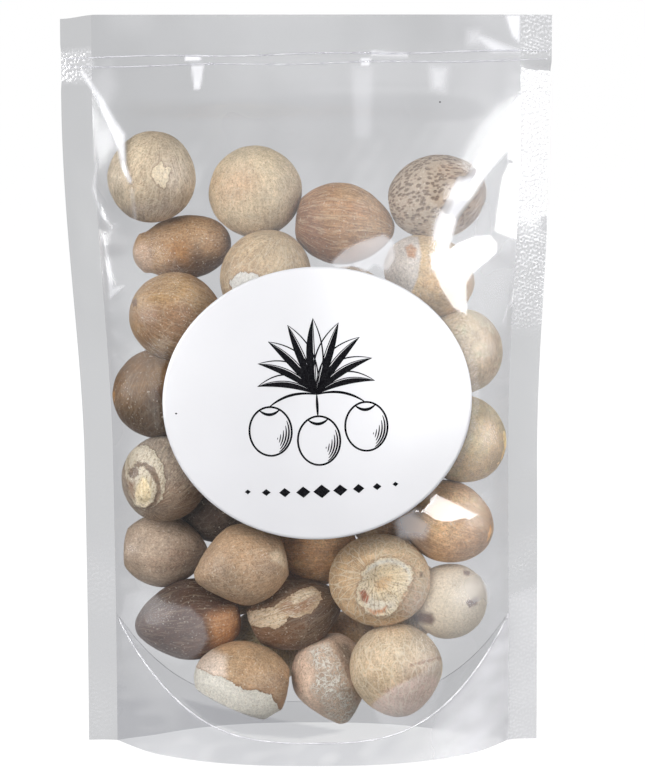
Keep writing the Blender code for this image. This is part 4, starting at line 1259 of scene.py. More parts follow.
def build_side_seals(material):
    """The two flat bands where front and back are welded together."""
    points, faces, hazes, shines = [], [], [], []
    for way, seal_looks in ((-1, left_seal_looks), (1, right_seal_looks)):
        columns, rows = SEAL_GRID
        share, z = np.meshgrid(way * np.linspace(INNER_SHARE, 1.0, columns), np.linspace(0.0, HEIGHT, rows))
        x = x_at(share, z)
        places = np.stack([x, z], axis=-1)
        across = (np.abs(share) - INNER_SHARE) / (1 - INNER_SHARE)
        pressed, turned, milk, shine = seal_looks(x, z)
        faint = (0.2 + 0.2 * ripples(places, 30.0, 55)) * (1 - smooth(60, 100, z))
        strength = np.clip(pressed + faint, 0.0, 1.0)
        margins = smooth(0.0, 0.1, across) * (1 - smooth(0.98, 1.0, np.abs(share)))
        y = middle_y(x, z) - PRESS * dimples(x, z) * strength * margins
        y = y + SEAL_WAVE * ripples(places, SEAL_WAVE_PITCH, 56) + SEAL_TURN * turned * across**TURN_CURVE
        haze = SEAL_HAZE + milk + strength * (PRESSED_HAZE + DIMPLE_MILK_AND_GLINTS * dimples(x, z))
        points.append(np.stack([x, y, edge_height(share, z)], axis=-1).reshape(-1, 3))
        band = grid_faces(*share.shape, start=len(faces) * share.size)
        faces.append(band if way > 0 else band[:, ::-1])
        hazes.append(np.clip(haze, 0.0, MOST_HAZE).ravel())
        shines.append(shine.ravel())
    looks = {"haze": np.concatenate(hazes), "shine": np.concatenate(shines)}
    made = mesh_object("side_seals", np.concatenate(points), np.concatenate(faces), material, "film", **looks)
    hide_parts("pouch")


def film_edge(share, fields, side):
    """(x, y, z) where the gusset's seal meets the front or back film, for shares of the inner width."""
    column = share * INNER_SHARE
    z = gusset_line(share)
    x = x_at(column, z)
    y = middle_y(x, z) + side * film_thickness(column, z, side, fields[side])
    return x, y, edge_height(column, z)


def build_gusset(fields, material):
    """The sheet under the nuts, sealed to the front and the back along a curved line."""
    share = np.linspace(-1.0, 1.0, GUSSET_GRID[0])
    across = np.linspace(0.0, 1.0, GUSSET_GRID[1])[:, None]
    front, back = (np.stack(film_edge(share, fields, side), axis=-1) for side in (-1, 1))
    points = front * (1 - across[..., None]) + back * across[..., None]
    bow = 4 * across * (1 - across)
    wave = GUSSET_WAVE * bow * ripples(points[..., :2], GUSSET_WAVE_PITCH, 21)
    points[..., 2] += wave - GUSSET_SAG * bow * hump(share, 0.8)
    points[..., 1] *= GUSSET_DEPTH_SHARE
    flat = points.reshape(-1, 3)
    haze = np.full(len(flat), GUSSET_HAZE)
    made = mesh_object("gusset", flat, grid_faces(*points.shape[:2]), material, "film", haze=haze)
    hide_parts("pouch")


def tube(path, radius, sides=8):
    """(points, faces) of a closed round bead along a path, with a flat end on each end."""
    path = np.asarray(path, float)
    ahead = np.gradient(path, axis=0)
    ahead /= np.linalg.norm(ahead, axis=1)[:, None]
    first = np.cross(ahead, (0.0, -1.0, 0.0))
    first /= np.linalg.norm(first, axis=1)[:, None]
    second = np.cross(ahead, first)
    turn = (np.arange(sides) * 2 * math.pi / sides)[None, :, None]
    ring = first[:, None] * np.cos(turn) + second[:, None] * np.sin(turn)
    radius = np.broadcast_to(radius, (len(path),))[:, None, None]
    points = (path[:, None] + radius * ring).reshape(-1, 3)
    faces = grid_faces(len(path), sides, closed=True).tolist()
    last = (len(path) - 1) * sides
    return points, faces + [list(range(sides))[::-1], list(range(last, last + sides))]


def joined(parts):
    """(points, faces) of several meshes as one."""
    points, faces, start = [], [], 0
    for some_points, some_faces in parts:
        points.append(some_points)
        faces += [[corner + start for corner in face] for face in some_faces]
        start += len(some_points)
    return np.concatenate(points), faces


def build_gusset_seal(fields, material):
    """The narrow welded bead along the gusset's line, front and back."""
    parts = []
    share = np.linspace(-BEAD_END, BEAD_END, 160)
    thicker = smooth(0.45, 0.7, np.abs(share)) * (1 - smooth(0.9, BEAD_END, np.abs(share)))
    radius = BEAD_RADIUS + BEAD_THICKER * thicker
    for side, size in ((-1, 1.0), (1, BEAD_BACK_SHARE)):
        x, y, z = film_edge(share, fields, side)
        parts.append(tube(np.stack([x, y + side * BEAD_OFFSET, z], axis=-1), size * radius))
    made = mesh_object("gusset_seal", *joined(parts), material, "film")
    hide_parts("pouch")


def build_zip(material):
    """The zip's four beads: two on the front film and two on the back, rising a little to the right."""
    parts = []
    share = np.linspace(-BEAD_END, BEAD_END, 180)
    crushed = 1.0 - ZIP_BEAD_CRUSHED * smooth(INNER_SHARE - 0.02, INNER_SHARE + 0.02, np.abs(share))
    for side, radius in ((-1, ZIP_FRONT_RADIUS), (1, ZIP_BACK_RADIUS)):
        for at in (-1, 1):
            z = ZIP_HEIGHT + at * ZIP_RIB_SPACING / 2 + ZIP_RISE * (1.0 + share)
            z = z + ZIP_WAVE * np.sin(share * ZIP_WAVES + at)
            x = x_at(share, z)
            off = FILM_GAP + ZIP_BEAD_DEPTH + ZIP_BEAD_WAVE * np.sin(share * ZIP_BEAD_WAVES)
            parts.append(tube(np.stack([x, middle_y(x, z) + side * off, z], axis=-1), radius * crushed))
    made = mesh_object("zip_track", *joined(parts), material, "film")
    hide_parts("pouch")


def film_material(name, tint, welded_and_shade_tint=None):
    """Clear glossy film, milky where it is welded or doubled, and shiny where it is taut.  Its milk also
    carries painted highlights, glints and sheens, and its welded tint carries painted shade under the pouch.
    """
    s = Shader(name)
    tint = s.mix(s.value("welded"), tint, welded_and_shade_tint) if welded_and_shade_tint else tint
    smears = s.noise(s.place(), 60.0, 1.0)
    haze = s.math("MULTIPLY", s.value("haze"), s.ramp(smears, 0.3, 0.7, 0.85, 1.1), clamp=True)
    clear = s.add("BsdfTransparent", Color=tint)
    milky = s.add("BsdfDiffuse", Color=MILK_AND_HIGHLIGHT_COLOUR)
    body = s.add("MixShader", _0=haze, _1=clear, _2=milky)
    shine = s.value("shine")
    rough = s.ramp(shine, 0.0, 1.0, SLACK_ROUGHNESS, TAUT_ROUGHNESS)
    rough = s.times(rough, s.ramp(smears, 0.3, 0.7, 0.8, 1.2))
    gloss = s.add("BsdfGlossy", Color=WHITE, Roughness=rough)
    mirrored = s.times(s.add("Fresnel", IOR=PLASTIC_IOR), GLOSS_GAIN)
    mirrored = s.times(s.math("MINIMUM", mirrored, MOST_GLOSS), s.ramp(shine, 0.0, 1.0, SLACK_GLOSS, 1.0))
    return s.finish(s.add("MixShader", _0=mirrored, _1=body, _2=gloss))


def bead_material(name, milk_and_highlight_share):
    """The same film where it is drawn into a bead, milky; on the gusset's bead the milk is partly a painted
    highlight along it.
    """
    s = Shader(name)
    clouds = s.noise(s.place(), 160.0, 2.0)
    clear = s.add("BsdfTransparent", Color=BEAD_TINT)
    milky = s.add("BsdfDiffuse", Color=BEAD_MILK_AND_HIGHLIGHT_COLOUR)
    body = s.add("MixShader", _0=s.ramp(clouds, 0.3, 0.7, 0.5 * milk_and_highlight_share, milk_and_highlight_share), _1=clear, _2=milky)
    gloss = s.add("BsdfGlossy", Color=WHITE, Roughness=BEAD_ROUGHNESS)
    mirrored = s.times(s.add("Fresnel", IOR=PLASTIC_IOR), BEAD_GLOSS)
    return s.finish(s.add("MixShader", _0=mirrored, _1=body, _2=gloss))


# ---------------------------------------------------------------- the nuts


def ball(subdivisions):
    """(directions, faces) of an evenly divided sphere, drawn together on its front."""
    mesh = bmesh.new()
    bmesh.ops.create_icosphere(mesh, subdivisions=subdivisions, radius=1.0)
    directions = np.array([point.co[:] for point in mesh.verts])
    faces = np.array([[corner.index for corner in face.verts] for face in mesh.faces])
    mesh.free()
    ahead = -directions[:, 1]
    nearer = (ahead + FRONT_FINER) / (1.0 + FRONT_FINER * ahead)
    round_it = np.sqrt(np.clip((1.0 - nearer**2) / np.maximum(1.0 - ahead**2, 1e-9), 0.0, None))
    return np.stack([directions[:, 0] * round_it, -nearer, directions[:, 2] * round_it], axis=1), faces


def in_picture(points):
    """(right, up) of places in the picture, in mm from its middle at the camera's target."""
    offset = points - np.array(CAMERA_TARGET)
    level, rise = math.cos(CAMERA_ELEVATION), math.sin(CAMERA_ELEVATION)
    towards = offset[:, 2] * rise - offset[:, 1] * level
    scale = CAMERA_DISTANCE / (CAMERA_DISTANCE - towards)
    return offset[:, 0] * scale, (offset[:, 1] * rise + offset[:, 2] * level) * scale


def half_ellipse(along, start, end):
    """The height of an ellipse of height 1 over the stretch from start to end."""
    middle, half = (start + end) / 2, (end - start) / 2
    return np.sqrt(np.clip(1.0 - ((along - middle) / half) ** 2, 0.0, 1.0))


def shell_points(nut, directions, number):
    """A nut's surface round its middle, before its patches: egg-shaped, flat at its base, a bit lumpy."""
    tip, point = nut["tip"], nut["point"]
    along = directions @ tip
    across = directions - along[:, None] * tip
    if number == KNOBBED:
        level = along
        body = half_ellipse(along, BODY_FROM, 1.0)
        knob = KNOB_WIDTH * half_ellipse(along, -1.0, BODY_FROM + 2 * KNOB_OVERLAP)
        egg = soft_max(body, knob, KNOB_ROUNDING) / np.sqrt(np.clip(1.0 - along**2, 1e-4, 1.0))
        egg = np.minimum(egg, KNOB_WIDEST)
    else:
        egg = 1.0 - (NARROWS_TO_TIP + point) * smooth(0.0, 1.0, along)
        egg = egg - NARROWS_TO_BASE * smooth(0.2, 1.0, -along)
        level = np.where(along < BASE_FROM, BASE_FROM + (along - BASE_FROM) * BASE_SHARE, along)
        level = level + point * TIP_STRETCH * smooth(0.9, 1.0, along)
    long, wide = LENGTH_GAIN * nut["length"] / 2, nut["width"] / 2
    points = long * level[:, None] * tip + wide * egg[:, None] * across
    lumps = LUMPS * ripples(directions, LUMP_PITCH, 100 + number)
    lumps = lumps + SMALL_LUMPS * ripples(directions, SMALL_LUMP_PITCH, 101 + number)
    return points * (NUT_GAIN + lumps)[:, None] * nut.get("stretch", (1.0, 1.0, 1.0))


def grain_across(nut, directions):
    """Where each direction lies round the nut's tip."""
    side = unit(np.cross(nut["tip"], (0.31, 0.87, 0.38)))
    across = np.stack([directions @ side, directions @ np.cross(nut["tip"], side)], axis=1)
    return across / np.maximum(np.linalg.norm(across, axis=1), 1e-6)[:, None]


def shell_tone(nut, directions, number):
    """The shell's colour: two tones that run into each other, unevenly mottled.  The second tone is partly
    painted light and shade, mostly shade low on the nut.
    """
    first, second = (screen_colour(*tone, SHELL_GAIN) for tone in nut["tones"])
    right, up = nut["second_place"]
    towards = unit((right, -math.sqrt(max(1.0 - right**2 - up**2, 0.05)), up))
    uneven = SECOND_UNEVEN * ripples(directions, SECOND_PITCH, 300 + number)
    share = smooth(SECOND_FROM, 1.0, directions @ towards + uneven)[:, None]
    mottled = 1.0 + MOTTLING * ripples(directions, MOTTLE_PITCH, 500 + number)
    mottled = mottled + SMALL_MOTTLING * ripples(directions, SMALL_MOTTLE_PITCH, 700 + number)
    return (first * (1 - share) + second * share) * mottled[:, None]


def blended(colours, target, share):
    """Colours of points, drawn towards one colour by each point's share."""
    return colours * (1 - share[:, None]) + target * share[:, None]


def finished_nut(nut, number, directions):
    """The points of one nut, and what its material reads at each of them."""
    points = shell_points(nut, directions, number)
    count = len(points)
    tone = shell_tone(nut, directions, number)
    bare_tone = np.tile(screen_colour(*BARE_WOOD, WOOD_GAIN), (count, 1))
    edges = {"scar": np.full(count, -EDGE_REACH), "pit": np.full(count, -EDGE_REACH)}
    covered = {"worm": np.zeros(count), "fibrous": np.zeros(count)}
    for owner, facing, share, colour in CUTS:
        if owner == number:
            way = unit(facing)
            reach = points @ way
            over = reach - share * reach.max()
            points = points - way * np.maximum(over, 0.0)[:, None]
            edges["scar"] = np.clip(over * CUT_STEEPNESS, -EDGE_REACH, EDGE_REACH)
            bare_tone[over > -BARE_MARGIN] = screen_colour(*colour, WOOD_GAIN)
    right, up = in_picture(points + np.array(nut["middle"]))
    for owner, kind, colour, softness, deep, outline in PATCHES:
        if owner != number:
            continue
        inside = np.where(directions[:, 1] < FRONT_FROM, signed_distance(right, up, outline), FAR_OUTSIDE)
        if kind in ("bare", "pit"):
            edge = "scar" if kind == "bare" else "pit"
            edges[edge] = np.maximum(edges[edge], np.clip(inside, -EDGE_REACH, EDGE_REACH))
        else:
            share = smooth(-softness / 2, softness / 2, inside)
        if kind == "bare":
            bare_tone[inside > -BARE_MARGIN] = screen_colour(*colour, WOOD_GAIN)
        elif kind == "tint":
            tone = blended(tone, screen_colour(*colour, SHELL_GAIN), share)
        elif kind == "mark":
            bare_tone = blended(bare_tone, screen_colour(*colour, WOOD_GAIN), share)
        elif kind in covered:
            covered[kind] = np.maximum(covered[kind], share)
        if deep:
            points = points - directions * (deep * smooth(DENT_FROM, DENT_TO + abs(deep), inside))[:, None]
        if kind == "bare" and deep > RIM_FROM:
            rim = np.exp(-(((inside + RIM_OUT) / RIM_WIDTH) ** 2))
            points = points + directions * (RIM_HEIGHT * rim)[:, None]
    round_tip = grain_across(nut, directions) * GRAIN_WIDTH
    grain = np.concatenate([round_tip, (points @ nut["tip"])[:, None]], axis=1)
    ones = np.ones(count)
    marks = [nut["streak"] * ones, nut["net"] * ones, nut["vein"] * ones, covered["worm"]]
    return {
        "points": points + nut["middle"],
        "tone": np.concatenate([np.clip(tone, DARKEST, BRIGHTEST), ones[:, None]], axis=1),
        "bare_tone": np.concatenate([bare_tone, covered["fibrous"][:, None]], axis=1),
        "marks": np.stack(marks, axis=1),
        "grain": grain + number * GRAIN_APART,
        **edges,
    }


def describe_nuts(nuts):
    """Gives every nut its look: the shown ones from the list, the hidden ones drawn at random."""
    draw = np.random.default_rng(HIDDEN_SEED + 1)
    for number, nut in enumerate(nuts):
        if number < len(NUT_LOOKS):
            first, second, place, streak, net, vein, point = NUT_LOOKS[number]
        else:
            first, second = (HIDDEN_TONES[draw.integers(len(HIDDEN_TONES))] for _ in range(2))
            place = tuple(draw.uniform(*HIDDEN_SECOND_PLACE, 2))
            streak, net, vein = draw.uniform(*HIDDEN_STRENGTH), 0.0, draw.uniform(*HIDDEN_STRENGTH)
            point = HIDDEN_POINT
        nut.update(tones=(first, second), second_place=place, streak=streak, net=net, vein=vein, point=point)


def build_nuts(nuts, material):
    """The nuts, in pieces small enough to handle: those that show, row by row, and the hidden ones."""
    describe_nuts(nuts)
    fine, plain = ball(FINE_BALL), ball(PLAIN_BALL)
    in_front = len(SHOWN_NUTS)
    pieces = []
    for row, first in enumerate(range(0, in_front, NUTS_A_PIECE)):
        pieces.append((f"nuts_row_{row + 1}", range(first, min(first + NUTS_A_PIECE, in_front)), fine))
    pieces.append(("nuts_behind", range(in_front, len(nuts)), plain))
    for name, numbers, (directions, triangles) in pieces:
        finished = [finished_nut(nuts[number], number + 1, directions) for number in numbers]
        faces = [triangles + k * len(directions) for k in range(len(finished))]
        together = {key: np.concatenate([one[key] for one in finished]) for key in finished[0]}
        made = mesh_object(name, together.pop("points"), np.concatenate(faces), material, "nut", **together)
        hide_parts("pouch")


def shell_textures(s):
    """The patterns that the shell and the wood are made of, by name."""
    place, grain = s.place(), s.vector("grain")
    warp = s.noise(place, 120.0, 2.0, out=1)

    def bent(warping, scale):
        return s.vector_math("MULTIPLY_ADD", warp, warping, s.vector_math("MULTIPLY", grain, scale))

    def net(feature, scale, vector, **inputs):
        return s.add("TexVoronoi", props={"feature": feature}, Scale=scale, Vector=vector, **inputs)

    along = bent((2.4, 2.4, 0.8), (1.0, 1.0, 0.12))
    looped = bent((3.0, 3.0, 3.0), (1.0, 1.0, 0.5))
    curls, small_curls = (
        s.math("ABSOLUTE", s.math("SUBTRACT", s.noise(place, *pattern), 0.5))
        for pattern in ((560.0, 3.0, 0.6), (1300.0, 2.0, 0.5))
    )
    return SimpleNamespace(
        lines=s.noise(along, 1.25, 3.0, 0.6),
        threads=s.noise(along, 3.4, 2.0, 0.5),
        wide_net=net("DISTANCE_TO_EDGE", 0.36, looped),
        fine_net=net("DISTANCE_TO_EDGE", 0.85, looped),
        cells=net("SMOOTH_F1", 0.86, bent((3.0, 3.0, 3.0), (1.0, 1.0, 0.7)), Smoothness=0.20),
        clouds=s.noise(place, 140.0, 3.0, 0.6),
        redness=s.noise(place, 75.0, 2.0, 0.5),
        coarse_grain=s.noise(place, 700.0, 4.0, 0.7),
        fine_grain=s.noise(place, 1700.0, 3.0, 0.7),
        pores=s.noise(place, 1500.0, 1.0),
        curls=curls,
        small_curls=small_curls,
        breaks=s.noise(place, 260.0, 3.0, 0.6),
        ragged=s.math("SUBTRACT", s.noise(place, 430.0, 4.0, 0.7), 0.5),
        fibre=s.noise(place, 1300.0, 3.0, 0.75),
        wood_dots=s.noise(place, 1900.0, 1.0),
    )


def shell_colour(s, look, streak, net, vein, veins):
    """The shell's tone with its grain, streaks, net, veins and pores."""
    tone = s.shaded(s.ramp(look.redness, 0.48, 0.72, 0.0, 0.4), s.colour("tone"), (0.99, 0.87, 0.76, 1.0))
    tone = s.shaded(1.0, tone, s.ramp(look.clouds, 0.30, 0.70, 0.84, 1.10))
    tone = s.shaded(1.0, tone, s.ramp(look.coarse_grain, 0.34, 0.66, 0.88, 1.10))
    tone = s.shaded(1.0, tone, s.ramp(look.fine_grain, 0.34, 0.66, 0.76, 1.18))
    tone = s.layer(tone, (228, 204, 172), s.ramp(look.lines, 0.52, 0.60), streak, 0.38)
    tone = s.layer(tone, (112, 76, 50), s.ramp(look.lines, 0.47, 0.41), streak, 0.32)
    tone = s.layer(tone, (110, 76, 52), s.ramp(look.threads, 0.46, 0.40), streak, 0.40)
    tone = s.shaded(s.times(vein, 0.35), tone, (0.80, 0.76, 0.70, 1.0))
    tone = s.layer(tone, (250, 236, 206), veins, vein, 0.62)
    tone = s.layer(tone, (206, 190, 168), s.ramp(look.cells, 0.40, 0.62), net, 0.50)
    tone = s.layer(tone, (112, 90, 70), s.ramp(look.cells, 0.58, 0.26), net, 0.62)
    tone = s.layer(tone, (104, 74, 50), s.ramp(look.pores, 0.66, 0.72), 0.45)
    return s.layer(tone, (244, 232, 210), s.ramp(look.pores, 0.33, 0.27), 0.45)


def wood_colour(s, look, fibrous):
    """The bare wood, dotted, and with its grain where it is fibrous."""
    wood = s.shaded(1.0, s.colour("bare_tone"), s.ramp(look.fibre, 0.34, 0.66, 0.84, 1.12))
    wood = s.layer(wood, (168, 130, 92), s.ramp(look.wood_dots, 0.60, 0.70), 0.35)
    wood = s.layer(wood, (158, 128, 92), s.ramp(look.lines, 0.50, 0.42), fibrous, 0.45)
    wood = s.layer(wood, (252, 244, 226), s.ramp(look.threads, 0.52, 0.62), fibrous, 0.50)
    return s.layer(wood, (128, 92, 62), s.ramp(look.fibre, 0.45, 0.36), fibrous, 0.55)


def nut_material():
    """Dry shell with worm furrows, scars of bare wood with a painted shadow round their edges, and dark
    hollows.
    """
    s = Shader("betel_nut_shell")
    look = shell_textures(s)
    streak, net, vein = (s.add("SeparateColor", out=out, _0=s.colour("marks")) for out in range(3))
    worm, fibrous = s.fourth("marks"), s.fourth("bare_tone")
    veins = s.math(
        "MAXIMUM", s.ramp(look.wide_net, 0.01, 0.09, 1.0, 0.0), s.ramp(look.fine_net, 0.0, 0.09, 0.45, 0.0)
    )
    furrows = s.math(
        "MAXIMUM", s.ramp(look.curls, 0.02, 0.075, 1.0, 0.0), s.ramp(look.small_curls, 0.0, 0.05, 0.6, 0.0)
    )
    tone = shell_colour(s, look, streak, net, vein, veins)
    tone = s.layer(tone, (232, 214, 190), worm, 0.22)
    tone = s.layer(tone, (255, 248, 234), furrows, s.ramp(look.breaks, 0.40, 0.52, 0.45, 1.0), worm)

    edge = s.plus(s.value("scar"), s.times(look.ragged, 2.6))
    bare = s.ramp(edge, -0.06, 0.10)
    # A painted shadow darkens the shell just outside each scar's edge
    tone = s.layer(tone, (120, 86, 60), s.ramp(edge, -0.8, -0.1), 0.40)
    tone = s.mix(bare, tone, wood_colour(s, look, fibrous))
    hole = s.ramp(s.plus(s.value("pit"), s.times(look.ragged, 2.2)), -0.45, 0.30)
    hollow = s.mix(s.ramp(look.fibre, 0.35, 0.65), shown(84, 58, 44), shown(136, 104, 80))
    tone = s.mix(s.times(hole, 0.82), tone, hollow)

    relief = s.plus(
        s.times(s.plus(look.lines, s.times(look.threads, 0.4)), streak),
        s.times(veins, vein, 0.25),
        s.times(s.ramp(look.cells, 0.10, 0.50), net, 0.9),
        s.times(look.fibre, bare, 1.2),
        s.times(furrows, worm, 0.8),
        s.times(look.clouds, 0.3),
        s.times(look.coarse_grain, 0.25),
    )
    rough = s.ramp(look.clouds, 0.3, 0.7, 0.48, 0.60)
    rough = s.math("ADD", rough, s.times(bare, 0.3), clamp=True)
    return s.solid(tone, rough, 0.12, s.bump(relief, 0.9, 0.0005))


# ---------------------------------------------------------------- the label


def label_point(across, up, lift, under_label):
    """A place on the label, given in its own directions, lifted off the film under it."""
    x = LABEL_CENTRE[0] + across * math.cos(LABEL_TURN) - up * math.sin(LABEL_TURN)
    z = LABEL_CENTRE[1] + across * math.sin(LABEL_TURN) + up * math.cos(LABEL_TURN)
    wave = LABEL_WAVE * ripples(np.stack([x, z], axis=-1), LABEL_WAVE_PITCH, 31)
    return np.stack([x, label_bend(x, z) - under_label - lift - wave, z], axis=-1)


def build_label(under_label, material):
    """The label: a thin oval sheet with a front, a back and a rim."""
    rings, spokes = LABEL_GRID
    turn = np.arange(spokes) * 2 * math.pi / spokes
    radius = np.linspace(0.0, 1.0, rings + 1)[1:, None]
    across, up = radius * LABEL_HALF_WIDTH * np.cos(turn), radius * LABEL_HALF_HEIGHT * np.sin(turn)
    points, faces = [], []
    front = LABEL_GAP + LABEL_THICKNESS
    for lift, flip in ((front, False), (front - PAPER_THICKNESS, True)):
        start = len(points) // 2 * (rings * spokes + 1)
        centre = start + rings * spokes
        points.append(label_point(across, up, lift, under_label).reshape(-1, 3))
        points.append(label_point(np.zeros(1), np.zeros(1), lift, under_label))
        some = grid_faces(rings, spokes, start, closed=True).tolist()
        some += [[centre, start + (k + 1) % spokes, start + k] for k in range(spokes)]
        faces += [face[::-1] for face in some] if flip else some
    near = (rings - 1) * spokes
    far = near + rings * spokes + 1
    for k in range(spokes):
        after = (k + 1) % spokes
        faces.append([near + after, far + after, far + k, near + k])
    made = mesh_object("label_sheet", np.concatenate(points), faces, material, "paper")
    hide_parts("label")


def strip(one_side, other_side):
    """(points, faces) of a printed strip between two lines, flat as it is drawn, facing the reader."""
    across = np.linspace(0.0, 1.0, 5)[None, :, None]
    grid = np.asarray(one_side)[:, None] * (1 - across) + np.asarray(other_side)[:, None] * across
    points = grid.reshape(-1, 2)
    faces = grid_faces(len(grid), 5)
    first, second, third = points[faces[len(faces) // 2][:3]]
    ahead, aside = second - first, third - second
    if ahead[0] * aside[1] - ahead[1] * aside[0] < 0:
        faces = faces[:, ::-1]
    return points, faces.tolist()


def stroke(line, width, taper=True):
    """(points, faces) of a thin printed line, thinner towards its ends if it tapers."""
    line = np.asarray(line, float)
    ahead = np.gradient(line, axis=0)
    ahead /= np.maximum(np.linalg.norm(ahead, axis=1), 1e-9)[:, None]
    side = np.stack([-ahead[:, 1], ahead[:, 0]], axis=1)
    share = np.linspace(0.0, 1.0, len(line))
    wide = width / 2 * (0.25 + 0.75 * np.sin(math.pi * share) ** 0.6 if taper else np.ones(len(line)))
    return strip(line - side * wide[:, None], line + side * wide[:, None])


def arc_line(start, end, bow):
    """A curved line between two places, bowed to its left by a share of its length."""
    start, end = np.asarray(start, float), np.asarray(end, float)
    share = np.linspace(0.0, 1.0, 24)[:, None]
    ahead = end - start
    left = np.array([-ahead[1], ahead[0]])
    return start + ahead * share + left * bow * 4 * share * (1 - share)


def oval_line(centre, across, up, start=0.0, end=2 * math.pi, count=48):
    """A part of an oval, from one angle to another."""
    angle = np.linspace(start, end, count)
    return np.stack([centre[0] + across * np.cos(angle), centre[1] + up * np.sin(angle)], axis=-1)


def printed_leaf(degrees):
    """A pointed leaf of the crown, with one half printed solid and the other half only drawn."""
    angle = math.radians(degrees)
    length = LEAF_LENGTH + LEAF_LONGER * math.sin(angle)
    end = np.asarray(CROWN) + length * np.array([math.cos(angle), math.sin(angle)])
    bend, fat = LEAF_BEND * math.cos(angle), -LEAF_FAT if degrees < 90 else LEAF_FAT
    rib, solid, drawn = (arc_line(CROWN, end, bend + way * fat) for way in (0, 1, -1))
    return [strip(rib + LEAF_GAP * (rib - drawn), solid), stroke(drawn, MIDDLE_LINE), stroke(rib, THIN_LINE)]


def printed_nut(centre):
    """A round nut drawn in outline on its stalk, shaded with curved strokes down one side."""
    across, up = PRINTED_NUT
    x, y = centre
    stalk = arc_line(CROWN, (x, y + up), 0.12 * np.sign(x))
    parts = [stroke(stalk, STALK_LINE), stroke(oval_line(centre, across, up), THICK_LINE, taper=False)]
    for k in NUT_SHADES:
        start, end = math.radians(-75 + 9 * k), math.radians(38 - 12 * k)
        shade = oval_line(centre, across * (1.0 - 0.13 * k), up * (1.0 - 0.06 * k), start, end, 30)
        parts.append(stroke(shade, 0.62 - 0.07 * k))
    cap = arc_line((x - 3.0, y + up - 1.0), (x + 3.0, y + up - 1.0), -0.22)
    return parts + [stroke(cap, CAP_LINE)]


def printed_lozenge(k):
    """The lozenge that is k places from the middle of the row; the outer ones are smaller."""
    size = LOZENGE_SIZE - LOZENGE_SHRINKS * abs(k)
    middle = np.array([k * LOZENGE_SPACING, LOZENGE_HEIGHT + LOZENGE_BOW * k * k])
    left, right = middle - (size, 0.0), middle + (size, 0.0)
    halves = []
    for way in (1, -1):
        corner = middle + (0.0, way * size * LOZENGE_FLATNESS)
        halves.append(np.stack([left, (left + corner) / 2, corner, (right + corner) / 2, right]))
    return strip(*halves)


def build_print(under_label, material):
    """A plain drawing of a palm crown over three nuts, with a row of lozenges under them."""
    parts = [part for degrees in LEAF_ANGLES for part in printed_leaf(degrees)]
    parts += [part for centre in PRINTED_NUTS for part in printed_nut(centre)]
    parts += [printed_lozenge(k) for k in LOZENGES]
    across, up = SPECK_SIZE
    parts.append(strip(*(oval_line(SPECK, across, way * up, 0.0, math.pi, 9) for way in (-1, 1))))
    flat, faces = joined(parts)
    points = label_point(*flat.T, LABEL_GAP + LABEL_THICKNESS + INK_LIFT, under_label)
    made = mesh_object("label_print", points, faces, material, "paper")
    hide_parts("label")


def paper_material():
    """Smooth white paper, evenly lit."""
    s = Shader("label_paper")
    fibres, clouds = s.noise(s.place(), 900.0, 4.0, 0.6), s.noise(s.place(), 30.0, 2.0)
    tone = s.mix(s.ramp(clouds, 0.3, 0.7), *PAPER_TONES)
    return s.solid(tone, s.ramp(fibres, 0.3, 0.7, 0.34, 0.44), 0.3, s.bump(fibres, 0.15, 0.0001))


def ink_material():
    """Black ink."""
    s = Shader("label_ink")
    tone = s.mix(s.ramp(s.noise(s.place(), 2200.0, 2.0), 0.35, 0.7), *INK_TONES)
    return s.solid(tone, 0.6, 0.0)


# ---------------------------------------------------------------- the studio


def build_floor():
    """A wide pale floor that glows a little, so that it stays as white as the photo's background."""
    mesh = bmesh.new()
    bmesh.ops.create_grid(mesh, x_segments=2, y_segments=2, size=FLOOR_HALF_SIZE)
    data = bpy.data.meshes.new("floor")
    mesh.to_mesh(data)
    mesh.free()
    s = Shader("pale_floor")
    paint = s.add("BsdfDiffuse", Color=s.mix(s.noise(s.place(), 3.0, 2.0), *FLOOR_TONES))
    glow = s.add("Emission", Color=WHITE, Strength=FLOOR_GLOW)
    data.materials.append(s.finish(s.add("AddShader", _0=paint, _1=glow)))
    floor = bpy.data.objects.new("floor", data)
    floor.location.z = FLOOR_HEIGHT
    floor.visible_diffuse = False
    bpy.context.scene.collection.objects.link(floor)


def direction(azimuth, elevation):
    """The way towards a light, azimuth 0 being in front of the pouch and 90 on its right."""
    a, e = math.radians(azimuth), math.radians(elevation)
    return Vector((math.sin(a) * math.cos(e), -math.cos(a) * math.cos(e), math.sin(e)))


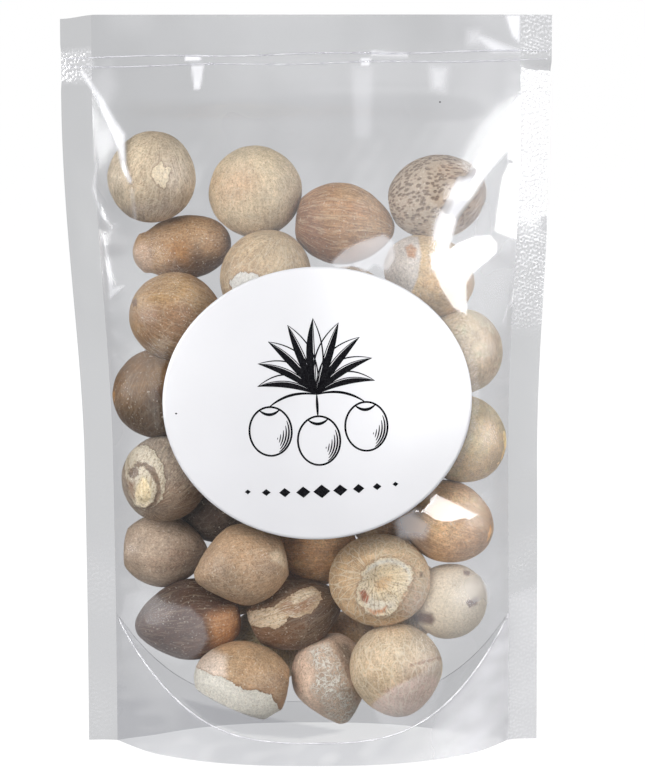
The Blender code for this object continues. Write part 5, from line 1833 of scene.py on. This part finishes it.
def softbox(name, azimuth, elevation, distance, width, height, radiance, shines, mirrored):
    """A soft rectangular light that lights the pouch, or shows in its gloss."""
    light = bpy.data.lights.new(name, "AREA")
    light.shape = "RECTANGLE"
    light.size, light.size_y = width, height
    light.energy = radiance * math.pi * width * height
    made = bpy.data.objects.new(name, light)
    way = direction(azimuth, elevation)
    made.location = Vector(LIGHTS_AIM) + way * distance
    made.rotation_euler = way.to_track_quat("Z", "Y").to_euler()
    made.visible_diffuse, made.visible_glossy = shines, mirrored
    bpy.context.scene.collection.objects.link(made)


def build_lights():
    """The lights, the white world round them, and how far light is followed."""
    for light in LIGHTS:
        softbox(*light)
    world = bpy.data.worlds.new("studio")
    bpy.context.scene.world = world
    world.use_nodes = True
    world.node_tree.nodes["Background"].inputs["Color"].default_value = WHITE
    world.node_tree.nodes["Background"].inputs["Strength"].default_value = WORLD_STRENGTH
    bpy.context.scene.view_settings.view_transform = "Standard"
    cycles = bpy.context.scene.cycles
    cycles.max_bounces, cycles.diffuse_bounces, cycles.glossy_bounces = 6, 2, 2
    cycles.transparent_max_bounces = 16
    cycles.caustics_reflective = cycles.caustics_refractive = False


def build_camera():
    """The camera, in front of the pouch and a little above it."""
    data = bpy.data.cameras.new("camera")
    data.lens = CAMERA_LENS
    data.sensor_width = CAMERA_SENSOR
    camera = bpy.data.objects.new("camera", data)
    target = Vector(CAMERA_TARGET) * MM
    back = Vector((0.0, -math.cos(CAMERA_ELEVATION), math.sin(CAMERA_ELEVATION)))
    camera.location = target + back * CAMERA_DISTANCE * MM
    camera.rotation_euler = back.to_track_quat("Z", "Y").to_euler()
    bpy.context.scene.collection.objects.link(camera)
    bpy.context.scene.camera = camera


def main():
    """Builds the scene round the frame."""
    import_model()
    nuts = settled_nuts()
    under_label = label_depth(nuts)
    nudge(nuts)
    fields = {side: stretched_film(nuts, side, under_label) for side in (-1, 1)}
    build_film(-1, fields[-1], film_material("front_film", FRONT_TINT, WELDED_AND_SHADE_TINT))
    build_film(1, fields[1], film_material("back_film", BACK_TINT))
    build_gusset(fields, film_material("gusset_film", GUSSET_TINT))
    build_side_seals(film_material("sealed_film", SEAL_TINT))
    # The gusset's bead is milky white, partly as a painted highlight along it
    build_gusset_seal(fields, bead_material("welded_film", 0.8))
    build_zip(bead_material("zip_film", 0.45))
    build_nuts(nuts, nut_material())
    build_label(under_label, paper_material())
    ink = ink_material()
    build_print(under_label, ink)
    build_speck(fields[-1], ink)
    build_floor()
    build_lights()
    build_camera()


main()
